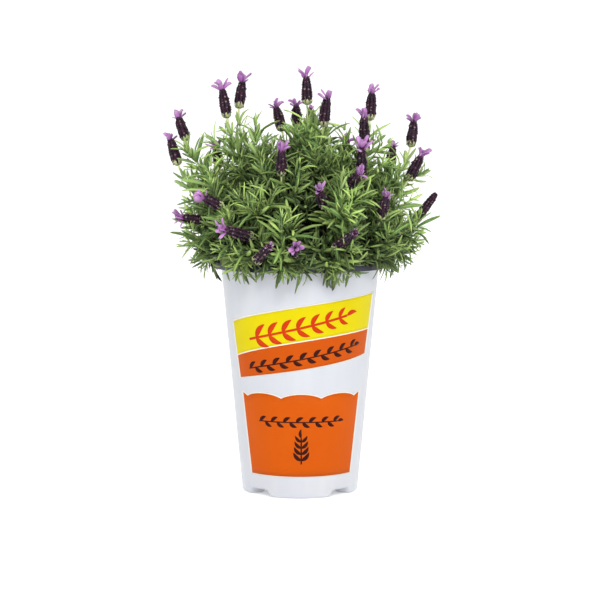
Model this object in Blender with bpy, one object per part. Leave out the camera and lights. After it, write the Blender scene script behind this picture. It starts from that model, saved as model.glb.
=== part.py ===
"""Potted lavender: a turned-rim nursery pot, its potting mix, and a plant of leafy shoots and flowering stems.

Metres, +Z up. The origin is on the surface that the pot stands on, at the pot's axis; the front faces -Y.
"""

import math

import bmesh
import bpy
from mathutils import Matrix, Vector
from mathutils.bvhtree import BVHTree

MM = 0.001

# Pot: one thin sheet drawn into a cup, with a turned-down rim and four raised notches round its foot.
POT_HEIGHT = 192 * MM
POT_TOP_RADIUS = 66 * MM
POT_FOOT_RADIUS = 48 * MM
POT_RIM_OVERHANG = 6.5 * MM
POT_RIM_DROP = 5.3 * MM
POT_WALL = 1.0 * MM
POT_EDGE = 0.8 * MM
POT_SIDES = 72
FOOT_CORNER = 2.5 * MM
FOOT_RING_WIDTH = 13 * MM
FOOT_RING_SLOPE = 3 * MM
FLOOR_RAISE = 4.5 * MM
NOTCH_COUNT = 4
NOTCH_RISE = 5.5 * MM
NOTCH_HALF_ANGLE = math.radians(15)
NOTCH_SLOPE_ANGLE = math.radians(5)
DRAIN_HOLE_RADIUS = 3.8 * MM
DRAIN_HOLE_SIDES = 16

# Potting mix: it fills the pot to a little below the rim.
MIX_CLEARANCE = 0.3 * MM
MIX_HEADSPACE = 12 * MM
MIX_MOUND = 2.5 * MM
MIX_MOUND_RADIUS = 30 * MM

# Woody crown: a short trunk on the mix, with a knuckle that every stem leaves.
JOINT_GAP = 0.3 * MM
TRUNK_RADIUS = 6 * MM
TRUNK_SIDES = 16
CROWN_RADIUS = 13 * MM
TRUNK_LENGTH = 5.7 * MM

# Flowering stems. Each row is one stem: where the spike's foot is (x, y and height above the pot's rim),
# how it leans (towards +X, then towards +Y, in degrees), the spike's length and the tuft's length.
FLOWER_SIDES = 6
FLOWER_STEM_RADIUS = 0.8 * MM
SPIKE_RADIUS = 4.3 * MM
SPIKE_PROFILE = ((0.0, 0.45), (0.12, 0.88), (0.45, 1.0), (0.8, 0.8), (1.0, 0.5))
PETAL_WIDTH = 4 * MM
PETAL_THICKNESS = 0.8 * MM
PETAL_SPLAY = 0.55
FLOWERS_MM = (
    (-101, 0, 79, -17, 4, 22, 6),
    (-95, 15, 99, -19, 6, 20, 8),
    (-60, -5, 118, -10, 0, 23, 10),
    (-51, 10, 126, 6, 5, 22, 9),
    (-15, 20, 107, -14, 8, 20, 7),
    (6, 0, 129, -2, 0, 22, 8),
    (8, 34, 111, 2, 10, 14, 6),
    (19, -10, 111, 8, -4, 23, 9),
    (58, 6, 116, 4, 2, 22, 9),
    (53, -20, 104, -8, -6, 15, 8),
    (50, -45, 78, -9, -20, 17, 10),
    (92, 10, 94, 10, 6, 21, 8),
    (89, -15, 67, 27, -10, 22, 9),
    (77, 36, 80, 2, 16, 14, 7),
    (-15, -60, 72, 0, -18, 20, 9),
    (37, -56, 60, 34, -34, 18, 9),
    (20, -70, 47, -18, -42, 18, 8),
    (65, -52, 37, 14, -24, 19, 8),
    (-62, -54, 47, -64, -38, 17, 10),
    (-80, -32, 35, -84, -18, 16, 9),
    (-46, -74, 26, -72, -60, 16, 10),
    (-32, -84, 9, 44, -50, 15, 7),
    (-4, -88, 14, 6, -74, 14, 8),
    (33, -84, 20, 48, -40, 16, 4),
    (103, -3, 42, 28, 0, 14, 3),
    (-68, 30, 76, -12, 20, 18, 9),
    (38, 56, 84, 6, 22, 16, 8),
    (-30, 70, 70, -10, 34, 19, 9),
    (62, 66, 46, 22, 44, 18, 9),
    (-78, 56, 36, -34, 40, 18, 9),
    (4, 87, 30, 4, 60, 17, 9),
    (-2, 48, 108, -4, 12, 20, 8),
)

# Leafy shoots: they stand in rings round the crown, each ring at one height above the pot's rim.
# Each row is one ring: shoots in it, how far out its tips are, their height, the end's rise, the turn.
SHOOT_RADIUS = 0.9 * MM
LEAF_PAIRS = 8
LEAF_BASE = 1.8 * MM
LEAF_LENGTH = 28 * MM
LEAF_WIDTH = 6.2 * MM
LEAF_THICKNESS = 1.0 * MM
LEAF_SPLAY = math.radians(52)
LEAF_TRIES = (1.0, 0.75, 0.5, 0.3)
SHOOT_RINGS_MM = (
    (11, 98, 14, -6, 0.0),
    (8, 86, 54, 42, 0.5),
    (5, 50, 86, 62, 0.2),
    (1, 10, 104, 80, 0.9),
)
STEM_STEPS = 7
CLEARANCE = 0.3 * MM
NUDGE = 2.2 * MM
NUDGE_TRIES = 60
TIP_GIVE = 0.8
GOLDEN_ANGLE = math.pi * (3 - math.sqrt(5))

RIM_TOP = POT_HEIGHT
MIX_TOP = POT_HEIGHT - MIX_HEADSPACE
TRUNK_FOOT = MIX_TOP + MIX_MOUND + JOINT_GAP
KNUCKLE_DROP = math.sqrt(CROWN_RADIUS**2 - TRUNK_RADIUS**2)
CROWN_CENTRE = Vector((0, 0, TRUNK_FOOT + TRUNK_LENGTH + KNUCKLE_DROP))
WALL_TAPER = (POT_TOP_RADIUS - POT_FOOT_RADIUS) / POT_HEIGHT


def finish_mesh(bm, name, material):
    """Makes the bmesh an object with that name and material, its faces pointing out."""
    bmesh.ops.recalc_face_normals(bm, faces=bm.faces[:])
    mesh = bpy.data.meshes.new(name)
    bm.to_mesh(mesh)
    bm.free()
    mesh.materials.append(material)
    mesh.shade_smooth()
    mesh.set_sharp_from_angle(angle=math.radians(35))
    obj = bpy.data.objects.new(name, mesh)
    bpy.context.scene.collection.objects.link(obj)
    return obj


def plain_material(name, colour, roughness):
    material = bpy.data.materials.new(name)
    material.use_nodes = True
    shader = material.node_tree.nodes["Principled BSDF"]
    shader.inputs["Base Color"].default_value = (*colour, 1)
    shader.inputs["Roughness"].default_value = roughness
    shader.inputs["Metallic"].default_value = 0
    return material


def turned(profile, sides):
    """A closed solid of revolution about Z, from (radius, height) points that start and end on the axis."""
    bm = bmesh.new()
    points = [bm.verts.new((radius, 0, height)) for radius, height in profile]
    edges = [bm.edges.new(pair) for pair in zip(points, points[1:])]
    bmesh.ops.spin(
        bm, geom=points + edges, cent=(0, 0, 0), axis=(0, 0, 1), angle=2 * math.pi, steps=sides
    )
    bmesh.ops.remove_doubles(bm, verts=bm.verts[:], dist=0.02 * MM)
    return bm


def wall_radius(height):
    """The pot's outer radius at a height."""
    return POT_FOOT_RADIUS + WALL_TAPER * height


def notch_lift(bearing):
    """How far the foot ring is raised at a bearing: zero on a foot, NOTCH_RISE across a notch."""
    pitch = 2 * math.pi / NOTCH_COUNT
    off_centre = abs((bearing % pitch) - pitch / 2)
    slope = (NOTCH_HALF_ANGLE - off_centre) / NOTCH_SLOPE_ANGLE
    return NOTCH_RISE * min(1, max(0, round(slope, 3)))


def lift_notches(bm, below):
    """Raises the foot ring across each notch, following the wall's taper. The raised centre stays."""
    ring_inside = POT_FOOT_RADIUS - FOOT_RING_WIDTH - FOOT_RING_SLOPE / 2
    for vert in bm.verts:
        radius = math.hypot(vert.co.x, vert.co.y)
        if radius < ring_inside or vert.co.z > below:
            continue
        lift = notch_lift(math.atan2(vert.co.y, vert.co.x))
        scale = (radius + lift * WALL_TAPER) / radius
        vert.co = (vert.co.x * scale, vert.co.y * scale, vert.co.z + lift)


def floor_top(clear):
    """(radius, height) points of the floor's upper side from the wall to the axis, raised by a clearance."""
    ring_in = POT_FOOT_RADIUS - FOOT_RING_WIDTH
    inside = POT_WALL + clear
    return [
        (wall_radius(FOOT_CORNER) - inside, FOOT_CORNER + clear),
        (POT_FOOT_RADIUS - FOOT_CORNER - clear, inside),
        (ring_in, inside),
        (ring_in - FOOT_RING_SLOPE, FLOOR_RAISE + inside),
        (0, FLOOR_RAISE + inside),
    ]


def make_pot(material):
    ring_in = POT_FOOT_RADIUS - FOOT_RING_WIDTH
    lip = POT_TOP_RADIUS + POT_RIM_OVERHANG
    under_flange = POT_HEIGHT - POT_WALL
    outside = [
        (0, FLOOR_RAISE),
        (ring_in - FOOT_RING_SLOPE, FLOOR_RAISE),
        (ring_in, 0),
        (POT_FOOT_RADIUS - FOOT_CORNER, 0),
        (wall_radius(FOOT_CORNER), FOOT_CORNER),
        (wall_radius(under_flange), under_flange),
        (lip - POT_WALL, under_flange),
        (lip - POT_WALL, POT_HEIGHT - POT_RIM_DROP),
        (lip, POT_HEIGHT - POT_RIM_DROP),
        (lip, POT_HEIGHT - POT_EDGE),
        (lip - POT_EDGE, POT_HEIGHT),
        (wall_radius(POT_HEIGHT) - POT_WALL + POT_EDGE, POT_HEIGHT),
        (wall_radius(POT_HEIGHT) - POT_WALL, POT_HEIGHT - POT_EDGE),
    ]
    bm = turned(outside + floor_top(0), POT_SIDES)
    lift_notches(bm, below=FOOT_CORNER + POT_WALL)
    pot = finish_mesh(bm, "nursery_pot", material)
    for index in range(NOTCH_COUNT):
        bearing = (index + 0.5) * 2 * math.pi / NOTCH_COUNT
        reach = POT_FOOT_RADIUS - FOOT_RING_WIDTH / 2
        cutter = drain_cutter(f"drain_cutter_{index}", reach, bearing)
        cut = pot.modifiers.new(cutter.name, "BOOLEAN")
        cut.object = cutter
    return pot


def drain_cutter(name, reach, bearing):
    bm = bmesh.new()
    depth = 4 * NOTCH_RISE
    bmesh.ops.create_cone(
        bm,
        cap_ends=True,
        segments=DRAIN_HOLE_SIDES,
        radius1=DRAIN_HOLE_RADIUS,
        radius2=DRAIN_HOLE_RADIUS,
        depth=depth,
    )
    cutter = finish_mesh(bm, name, None)
    cutter.location = (reach * math.cos(bearing), reach * math.sin(bearing), NOTCH_RISE)
    cutter.hide_render = True
    cutter.display_type = "WIRE"
    return cutter


def make_mix(material):
    """The potting mix: the pot's inside less a clearance, with a low mound under the trunk."""
    side = wall_radius(MIX_TOP) - POT_WALL - MIX_CLEARANCE
    surface = [
        (0, MIX_TOP + MIX_MOUND),
        (TRUNK_RADIUS * 1.4, MIX_TOP + MIX_MOUND),
        (MIX_MOUND_RADIUS, MIX_TOP),
        (side, MIX_TOP),
    ]
    bm = turned(surface + floor_top(MIX_CLEARANCE), POT_SIDES)
    lift_notches(bm, below=FOOT_CORNER + POT_WALL + MIX_CLEARANCE)
    return finish_mesh(bm, "potting_mix", material)


def make_crown(material):
    """A flared trunk that stands on the mix and carries a round knuckle."""
    foot = TRUNK_FOOT
    centre = CROWN_CENTRE.z
    top = math.radians(90)
    waist = math.asin(TRUNK_RADIUS / CROWN_RADIUS) - top
    steps = 9
    profile = [(0, foot), (TRUNK_RADIUS * 1.25, foot), (TRUNK_RADIUS, foot + TRUNK_RADIUS * 0.5)]
    for step in range(steps):
        angle = waist + (top - waist) * step / (steps - 1)
        profile.append((CROWN_RADIUS * math.cos(angle), centre + CROWN_RADIUS * math.sin(angle)))
    profile[-1] = (0, centre + CROWN_RADIUS)
    return finish_mesh(turned(profile, TRUNK_SIDES), "woody_crown", material)


def curve_points(start, start_way, end, end_way, steps):
    """Points along one smooth arch from start to end that leaves and arrives the given ways."""
    span = (end - start).length
    first, second = start + start_way * span * 0.35, end - end_way * span * 0.35
    points = []
    for step in range(steps + 1):
        t = step / steps
        u = 1 - t
        points.append(start * u**3 + first * 3 * u * u * t + second * 3 * u * t * t + end * t**3)
    return points


def tube(bm, points, radii, sides):
    """A closed tube through the points. Returns its rings of vertices and the frame at each."""
    ways = [(b - a).normalized() for a, b in zip(points, points[1:])]
    ways = [ways[0]] + [(a + b).normalized() for a, b in zip(ways, ways[1:])] + [ways[-1]]
    side = ways[0].cross(Vector((0, 0, 1)))
    side = side.normalized() if side.length > 0.05 else Vector((1, 0, 0))
    rings, frames = [], []
    for point, way, radius in zip(points, ways, radii):
        side = (side - way * side.dot(way)).normalized()
        other = way.cross(side)
        ring = []
        for index in range(sides):
            angle = 2 * math.pi * (index + 0.5) / sides
            ring.append(bm.verts.new(point + (side * math.cos(angle) + other * math.sin(angle)) * radius))
        rings.append(ring)
        frames.append((point, way, side, other))
    for low, high in zip(rings, rings[1:]):
        for index in range(sides):
            after = (index + 1) % sides
            bm.faces.new((low[index], low[after], high[after], high[index]))
    bm.faces.new(rings[0][::-1])
    bm.faces.new(rings[-1])
    return rings, frames


def blade_points(root, way, across, size, extra=0):
    """A blade's widest section, as four points, and its tip. The size is (length, width, thickness)."""
    length, width, thickness = size
    centre = sum((vert.co for vert in root), Vector()) / 4
    normal = way.cross(across).normalized()
    middle = centre + way * length * 0.45
    half, thin = across * (width / 2 + extra), normal * (thickness / 2 + extra)
    corners = [middle - half - thin, middle + half - thin, middle + half + thin, middle - half + thin]
    return corners, centre + way * (length + extra)


def grow_blade(bm, root, corners, tip):
    """Replaces a stem face, given by its four vertices, by a blade that runs from it to the tip."""
    bm.faces.remove(bm.faces.get(root))
    middle = [bm.verts.new(corner) for corner in corners]
    end = bm.verts.new(tip)
    for index in range(4):
        after = (index + 1) % 4
        bm.faces.new((root[index], root[after], middle[after], middle[index]))
        bm.faces.new((middle[index], middle[after], end))


def flower_solid(row, start, start_way, extra=0):
    """A flowering stem: the stalk, the barrel-shaped spike and its tuft, as one body."""
    x, y, height, lean_x, lean_y, spike, tuft = row
    foot = Vector((x * MM, y * MM, RIM_TOP + height * MM))
    lean = Vector((math.tan(math.radians(lean_x)), math.tan(math.radians(lean_y)), 1))
    way = lean.normalized()
    points = curve_points(start, start_way, foot, way, STEM_STEPS)
    radii = [FLOWER_STEM_RADIUS + extra] * len(points)
    for share, girth in SPIKE_PROFILE:
        points.append(foot + way * (share + 0.05) * spike * MM)
        radii.append(SPIKE_RADIUS * girth + extra)
    bm = bmesh.new()
    rings, frames = tube(bm, points, radii, FLOWER_SIDES)
    centre, way, _, _ = frames[-1]
    low, high = rings[-2], rings[-1]
    for index in range(0, FLOWER_SIDES, 2):
        after = index + 1
        root = (low[index], low[after], high[after], high[index])
        middle = sum((vert.co for vert in root), Vector()) / 4
        outward = (middle - centre).normalized()
        across = (low[after].co - low[index].co).normalized()
        petal_way = (way + outward * PETAL_SPLAY).normalized()
        size = ((tuft + spike * 0.2) * MM, PETAL_WIDTH, PETAL_THICKNESS)
        corners, tip = blade_points(root, petal_way, across, size, extra)
        grow_blade(bm, root, corners, tip)
    return bm


def shoot_points(tip, start, start_way, rise):
    """The bare stem of a leafy shoot: two close points at each pair of leaves."""
    outward = Vector((tip.x, tip.y, 0)).normalized()
    end_way = (outward * math.cos(rise) + Vector((0, 0, math.sin(rise)))).normalized()
    fine = curve_points(start, start_way, tip, end_way, 8 * (LEAF_PAIRS + 1))
    points = [fine[0]]
    for pair in range(LEAF_PAIRS):
        here = fine[8 * (pair + 1)]
        ahead = (fine[8 * (pair + 1) + 1] - here).normalized() * LEAF_BASE / 2
        points += [here - ahead, here + ahead]
    points.append(fine[-1])
    return points


def is_clear(tree, others):
    return not any(tree.overlap(other) for other in others)


def stem_solid(points, radius, sides):
    bm = bmesh.new()
    count = len(points)
    radii = [radius * (1 - 0.45 * index / (count - 1)) for index in range(count)]
    return bm, *tube(bm, points, radii, sides)


def fattened(points, radius):
    """A stem with the clearance added all round, for the test against its neighbours."""
    bm = bmesh.new()
    tube(bm, points, [radius + CLEARANCE] * len(points), 4)
    tree = BVHTree.FromBMesh(bm)
    bm.free()
    return tree


def crown_exit(target, attempt):
    """Where a stem leaves the crown for its target, which way, and how far its tip may give way.

    Later attempts step round the first, each a little further off.
    """
    way = (target - CROWN_CENTRE).normalized()
    side = way.cross(Vector((0, 0, 1))).normalized()
    other = way.cross(side)
    turn = attempt * GOLDEN_ANGLE
    step = (side * math.cos(turn) + other * math.sin(turn)) * NUDGE * math.sqrt(attempt)
    way = (way + step / CROWN_RADIUS).normalized()
    return CROWN_CENTRE + way * (CROWN_RADIUS + JOINT_GAP), way, step * TIP_GIVE


def shoot_tips():
    """(tip, rise) of each leafy shoot, ring by ring."""
    for count, reach, height, rise, turn in SHOOT_RINGS_MM:
        for index in range(count):
            bearing = 2 * math.pi * (index + turn) / count
            tip = Vector((reach * MM * math.cos(bearing), reach * MM * math.sin(bearing), 0))
            tip.z = RIM_TOP + height * MM
            yield tip, math.radians(rise)


def make_flowers(material, placed):
    """The flowering stems, each clear of those before it."""
    for number, row in enumerate(FLOWERS_MM, 1):
        target = Vector((row[0] * MM, row[1] * MM, RIM_TOP + row[2] * MM))
        for attempt in range(NUDGE_TRIES):
            start, way, _ = crown_exit(target, attempt)
            bm = flower_solid(row, start, way, CLEARANCE)
            tree = BVHTree.FromBMesh(bm)
            bm.free()
            if is_clear(tree, placed):
                break
        else:
            print("no clear path for flowering stem", number)
        placed.append(tree)
        finish_mesh(flower_solid(row, start, way), f"flower_stem_{number:02d}", material)


def make_shoots(material, placed):
    """The leafy shoots: every bare stem is placed first, then the leaves, each cut short where it would touch."""
    shoots = []
    for number, (tip, rise) in enumerate(shoot_tips(), 1):
        for attempt in range(NUDGE_TRIES):
            start, way, give = crown_exit(tip, attempt)
            points = shoot_points(tip + give, start, way, rise)
            tree = fattened(points, SHOOT_RADIUS)
            if is_clear(tree, placed):
                break
        else:
            print("no clear path for leafy shoot", number)
        placed.append(tree)
        shoots.append((number, points, tree))
    for number, points, own in shoots:
        bm, rings, frames = stem_solid(points, SHOOT_RADIUS, 4)
        others = [tree for tree in placed if tree is not own]
        for pair in range(LEAF_PAIRS):
            for leaf_face in (pair % 2, pair % 2 + 2):
                grow_leaf(bm, rings, frames, pair, leaf_face, others, placed)
        finish_mesh(bm, f"leafy_shoot_{number:02d}", material)


def grow_leaf(bm, rings, frames, pair, leaf_face, others, placed):
    """One leaf of a pair, as long as its neighbours allow."""
    low, high = rings[2 * pair + 1], rings[2 * pair + 2]
    after = (leaf_face + 1) % 4
    root = (low[leaf_face], low[after], high[after], high[leaf_face])
    middle = sum((vert.co for vert in root), Vector()) / 4
    stem_middle = (frames[2 * pair + 1][0] + frames[2 * pair + 2][0]) / 2
    outward = (middle - stem_middle).normalized()
    stem_way = frames[2 * pair + 1][1]
    across = (low[after].co - low[leaf_face].co).normalized()
    leaf_way = (stem_way * math.cos(LEAF_SPLAY) + outward * math.sin(LEAF_SPLAY)).normalized()
    growth = 1 - 0.35 * abs(pair / (LEAF_PAIRS - 1) - 0.4)
    for share in LEAF_TRIES:
        size = (LEAF_LENGTH * growth * share, LEAF_WIDTH * growth, LEAF_THICKNESS)
        tree = blade_tree(root, leaf_way, across, size)
        if is_clear(tree, others):
            grow_blade(bm, root, *blade_points(root, leaf_way, across, size))
            placed.append(tree)
            others.append(tree)
            return


def blade_tree(root, way, across, size):
    """The space that one leaf takes, with its clearance, for the test against its neighbours."""
    corners, tip = blade_points(root, way, across, size, CLEARANCE)
    centre = sum((vert.co for vert in root), Vector()) / 4
    foot = [centre + (vert.co - centre) * 1.4 for vert in root]
    faces = [(0, 1, 5, 4), (1, 2, 6, 5), (2, 3, 7, 6), (3, 0, 4, 7)]
    faces += [(4, 5, 8), (5, 6, 8), (6, 7, 8), (7, 4, 8)]
    return BVHTree.FromPolygons([*foot, *corners, tip], faces)


def main():
    for obj in list(bpy.data.objects):
        bpy.data.objects.remove(obj)
    plastic = plain_material("white_plastic", (0.80, 0.81, 0.85), 0.35)
    earth = plain_material("potting_mix", (0.045, 0.03, 0.02), 0.95)
    bark = plain_material("bark", (0.16, 0.10, 0.06), 0.9)
    green = plain_material("leaf_green", (0.12, 0.22, 0.07), 0.6)
    purple = plain_material("flower_purple", (0.10, 0.02, 0.11), 0.7)
    base = [make_pot(plastic), make_mix(earth), make_crown(bark)]
    graph = bpy.context.evaluated_depsgraph_get()
    placed = [BVHTree.FromObject(obj, graph) for obj in base]
    make_flowers(purple, placed)
    make_shoots(green, placed)


main()
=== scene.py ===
import math
import random

import bmesh
import bpy
from mathutils import Matrix, Vector, noise


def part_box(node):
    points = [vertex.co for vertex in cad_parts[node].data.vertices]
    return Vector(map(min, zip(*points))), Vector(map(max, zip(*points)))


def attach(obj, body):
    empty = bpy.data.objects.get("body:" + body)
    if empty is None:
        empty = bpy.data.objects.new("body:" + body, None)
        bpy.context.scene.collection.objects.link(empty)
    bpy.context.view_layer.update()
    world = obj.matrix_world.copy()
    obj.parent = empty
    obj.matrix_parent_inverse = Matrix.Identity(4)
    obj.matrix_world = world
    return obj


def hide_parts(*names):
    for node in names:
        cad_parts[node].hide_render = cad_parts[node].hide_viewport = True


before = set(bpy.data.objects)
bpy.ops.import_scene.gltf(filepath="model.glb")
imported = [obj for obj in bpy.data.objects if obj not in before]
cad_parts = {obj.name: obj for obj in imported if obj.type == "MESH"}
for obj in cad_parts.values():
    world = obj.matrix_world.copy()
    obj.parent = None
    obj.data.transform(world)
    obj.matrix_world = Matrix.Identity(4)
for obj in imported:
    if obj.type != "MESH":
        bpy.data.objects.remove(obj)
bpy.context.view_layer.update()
print("frame loaded:", len(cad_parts), "nodes")

mm = 0.001
up = Vector((0, 0, 1))
crownLow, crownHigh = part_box("woody_crown")
crownRadius = (crownHigh.x - crownLow.x) / 2
crownCentre = Vector((0, 0, crownHigh.z - crownRadius))
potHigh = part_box("nursery_pot")[1]


# small helpers for node trees

def addNode(tree, kind, inputs=None, **settings):
    node = tree.nodes.new(kind)
    for name, value in settings.items():
        setattr(node, name, value)
    for key, value in (inputs or {}).items():
        plug(tree, node.inputs[key], value)
    return node


def plug(tree, socket, value):
    # a socket is linked, anything else becomes the socket's own value
    if isinstance(value, bpy.types.NodeSocket):
        tree.links.new(value, socket)
    elif value is not None:
        socket.default_value = value


def calc(tree, operation, a, b=None, c=None):
    return addNode(tree, "ShaderNodeMath", {0: a, 1: b, 2: c}, operation=operation).outputs[0]


def times(tree, a, b):
    return calc(tree, "MULTIPLY", a, b)


def vecCalc(tree, operation, a, b=None):
    node = addNode(tree, "ShaderNodeVectorMath", {0: a}, operation=operation)
    if b is not None:
        plug(tree, node.inputs["Scale" if operation == "SCALE" else 1], b)
    return node.outputs["Value" if operation in ("LENGTH", "DOT_PRODUCT") else "Vector"]


def newTree(name, inputs):
    # a Geometry Nodes tree with named inputs, each with its start value or, without one, its kind
    tree = bpy.data.node_groups.new(name, "GeometryNodeTree")
    face = tree.interface
    face.new_socket("Geometry", in_out="INPUT", socket_type="NodeSocketGeometry")
    for label, value in inputs.items():
        kind = value if isinstance(value, str) else type(value).__name__.title()
        socket = face.new_socket(label, in_out="INPUT", socket_type="NodeSocket" + kind)
        if value != kind:
            socket.default_value = value
    face.new_socket("Geometry", in_out="OUTPUT", socket_type="NodeSocketGeometry")
    return tree, tree.nodes.new("NodeGroupInput"), tree.nodes.new("NodeGroupOutput")


def runTree(obj, tree, values, name):
    # runs the tree on an object and returns the plain mesh piece that it makes
    modifier = obj.modifiers.new(tree.name, "NODES")
    modifier.node_group = tree
    for item in tree.interface.items_tree:
        if item.item_type == "SOCKET" and item.in_out == "INPUT" and item.name in values:
            modifier[item.identifier] = values[item.name]
    bpy.context.view_layer.update()
    graph = bpy.context.evaluated_depsgraph_get()
    mesh = bpy.data.meshes.new_from_object(obj.evaluated_get(graph), depsgraph=graph)
    obj.modifiers.remove(modifier)
    bpy.data.objects.remove(obj)
    mesh.name = name
    return newPiece(name, mesh)


def newPiece(name, mesh):
    piece = bpy.data.objects.new(name, mesh)
    bpy.context.scene.collection.objects.link(piece)
    return piece


def makeMesh(bm, name, outward=True):
    # the finished mesh, with its faces pointing outwards where it is a closed shape
    if outward:
        bmesh.ops.recalc_face_normals(bm, faces=bm.faces[:])
    mesh = bpy.data.meshes.new(name)
    bm.to_mesh(mesh)
    bm.free()
    return mesh


def bridge(bm, low, high, smooth=True, group=0):
    # a closed band of faces between two rings of the same count
    for index in range(len(low)):
        after = (index + 1) % len(low)
        face = bm.faces.new((low[index], low[after], high[after], high[index]))
        face.smooth = smooth
        face.material_index = group


def cap(bm, ring, hub, smooth=False, group=0):
    # a fan of faces from a ring to the vertex in its middle
    for index in range(len(ring)):
        face = bm.faces.new((ring[index], ring[(index + 1) % len(ring)], hub))
        face.smooth = smooth
        face.material_index = group


def turned(radius, angle, height):
    # a place at an angle round the upright axis
    return Vector((radius * math.cos(angle), radius * math.sin(angle), height))


def ringOf(bm, sides, place):
    # vertices all round the upright axis, each from its angle
    return [bm.verts.new(place(2 * math.pi * index / sides)) for index in range(sides)]


def joinPieces(piece, other):
    # the second piece becomes part of the first
    with bpy.context.temp_override(
        active_object=piece, object=piece, selected_objects=[piece, other],
        selected_editable_objects=[piece, other],
    ):
        bpy.ops.object.join()
    return piece


def storeValue(tree, geometry, label, value, domain="POINT"):
    return addNode(
        tree, "GeometryNodeStoreNamedAttribute", {"Geometry": geometry, "Name": label, "Value": value},
        data_type="FLOAT", domain=domain,
    ).outputs["Geometry"]


def readValue(tree, label):
    node = addNode(tree, "GeometryNodeInputNamedAttribute", {"Name": label}, data_type="FLOAT")
    return node.outputs["Attribute"]


def randomValue(tree, low, high, seed):
    given = {2: low, 3: high, "Seed": seed}
    return addNode(tree, "FunctionNodeRandomValue", given, data_type="FLOAT").outputs[1]


def blendValue(tree, share, low, high):
    return addNode(tree, "ShaderNodeMix", {0: share, 2: low, 3: high}, data_type="FLOAT").outputs[0]


def isAbove(tree, value, limit):
    return addNode(
        tree, "FunctionNodeCompare", {0: value, 1: limit}, data_type="FLOAT", operation="GREATER_THAN"
    ).outputs[0]


def placeOf(tree):
    return addNode(tree, "GeometryNodeInputPosition").outputs[0]


def heightOf(tree, place):
    return addNode(tree, "ShaderNodeSeparateXYZ", {0: place}).outputs["Z"]


def painted(tree, geometry, material):
    given = {"Geometry": geometry, "Material": material}
    return addNode(tree, "GeometryNodeSetMaterial", given).outputs[0]


def realized(tree, geometry):
    return addNode(tree, "GeometryNodeRealizeInstances", {"Geometry": geometry}).outputs[0]


def placeShapes(tree, points, shapes, highest, seed, tintSeed, **settings):
    # a random shape of a collection on each point, each with its own random tint
    given = {"Collection": shapes, "Separate Children": True, "Reset Children": True}
    source = addNode(tree, "GeometryNodeCollectionInfo", given).outputs[0]
    given = {5: highest, "Seed": seed}
    pick = addNode(tree, "FunctionNodeRandomValue", given, data_type="INT").outputs[2]
    given = dict(settings, Points=points, Instance=source)
    given.update({"Pick Instance": True, "Instance Index": pick})
    placed = addNode(tree, "GeometryNodeInstanceOnPoints", given).outputs[0]
    tinted = storeValue(tree, placed, "tint", randomValue(tree, 0.0, 1.0, tintSeed), "INSTANCE")
    return realized(tree, tinted)


# small helpers for materials

def newMaterial(name, **settings):
    material = bpy.data.materials.new(name)
    material.use_nodes = True
    shader = material.node_tree.nodes["Principled BSDF"]
    for key, value in settings.items():
        shader.inputs[key.replace("_", " ")].default_value = value
    return material, material.node_tree


def finishMaterial(material, colour, height=None, strength=0.0, distance=0.0, rough=None):
    # links the colour and, where they are given, the fine relief and the roughness
    tree = material.node_tree
    shader = tree.nodes["Principled BSDF"]
    plug(tree, shader.inputs["Base Color"], colour)
    plug(tree, shader.inputs["Roughness"], rough)
    if height:
        given = {"Height": height, "Strength": strength, "Distance": distance}
        relief = addNode(tree, "ShaderNodeBump", given).outputs["Normal"]
        plug(tree, shader.inputs["Normal"], relief)
    return material


def rgb(red, green, blue):
    # a display colour out of 255 as a linear one
    def line(part):
        part /= 255
        return part / 12.92 if part <= 0.04045 else ((part + 0.055) / 1.055) ** 2.4
    return (line(red), line(green), line(blue), 1)


def ramp(tree, share, stops):
    node = addNode(tree, "ShaderNodeValToRGB", {"Fac": share})
    line = node.color_ramp
    while len(line.elements) < len(stops):
        line.elements.new(0.5)
    for element, (place, colour) in zip(line.elements, stops):
        element.position = place
        element.color = colour
    return node.outputs["Color"]


def mixColour(tree, share, low, high):
    return addNode(tree, "ShaderNodeMix", {0: share, 6: low, 7: high}, data_type="RGBA").outputs[2]


def objectNoise(tree, scale, detail=3.0, roughness=0.55, stretch=None):
    place = addNode(tree, "ShaderNodeTexCoord").outputs["Object"]
    if stretch:
        place = addNode(tree, "ShaderNodeMapping", {"Vector": place, "Scale": stretch}).outputs[0]
    node = addNode(
        tree, "ShaderNodeTexNoise",
        {"Vector": place, "Scale": scale, "Detail": detail, "Roughness": roughness},
    )
    return node.outputs["Fac"]


def attribute(tree, label):
    return addNode(tree, "ShaderNodeAttribute", attribute_name=label).outputs["Fac"]


def mapRange(tree, value, low, high, toLow=0.0, toHigh=1.0):
    node = addNode(
        tree, "ShaderNodeMapRange",
        {"Value": value, "From Min": low, "From Max": high, "To Min": toLow, "To Max": toHigh},
    )
    return node.outputs["Result"]


def tinge(tree, colour, over, value, low, high, start=0.0, end=1.0):
    # lays one colour over another by a share that follows a value
    return mixColour(tree, mapRange(tree, value, low, high, start, end), colour, over)


def bladeMarks(tree):
    # a blade's random tint, and the place along and across it
    return [attribute(tree, label) for label in ("tint", "bladeAlong", "bladeAcross")]


# materials

def bushDepth(tree):
    # how far inside the dome of leaves a place is: leaves there get painted shade, darker the deeper
    # inside they lie
    place = addNode(tree, "ShaderNodeTexCoord").outputs["Object"]
    moved = vecCalc(tree, "SUBTRACT", place, (0, 0, potHigh.z))
    reach = vecCalc(tree, "LENGTH", vecCalc(tree, "MULTIPLY", moved, (1, 1, 0.98)))
    return mapRange(tree, reach, 65 * mm, 110 * mm, 0.97, 0.0)


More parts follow.
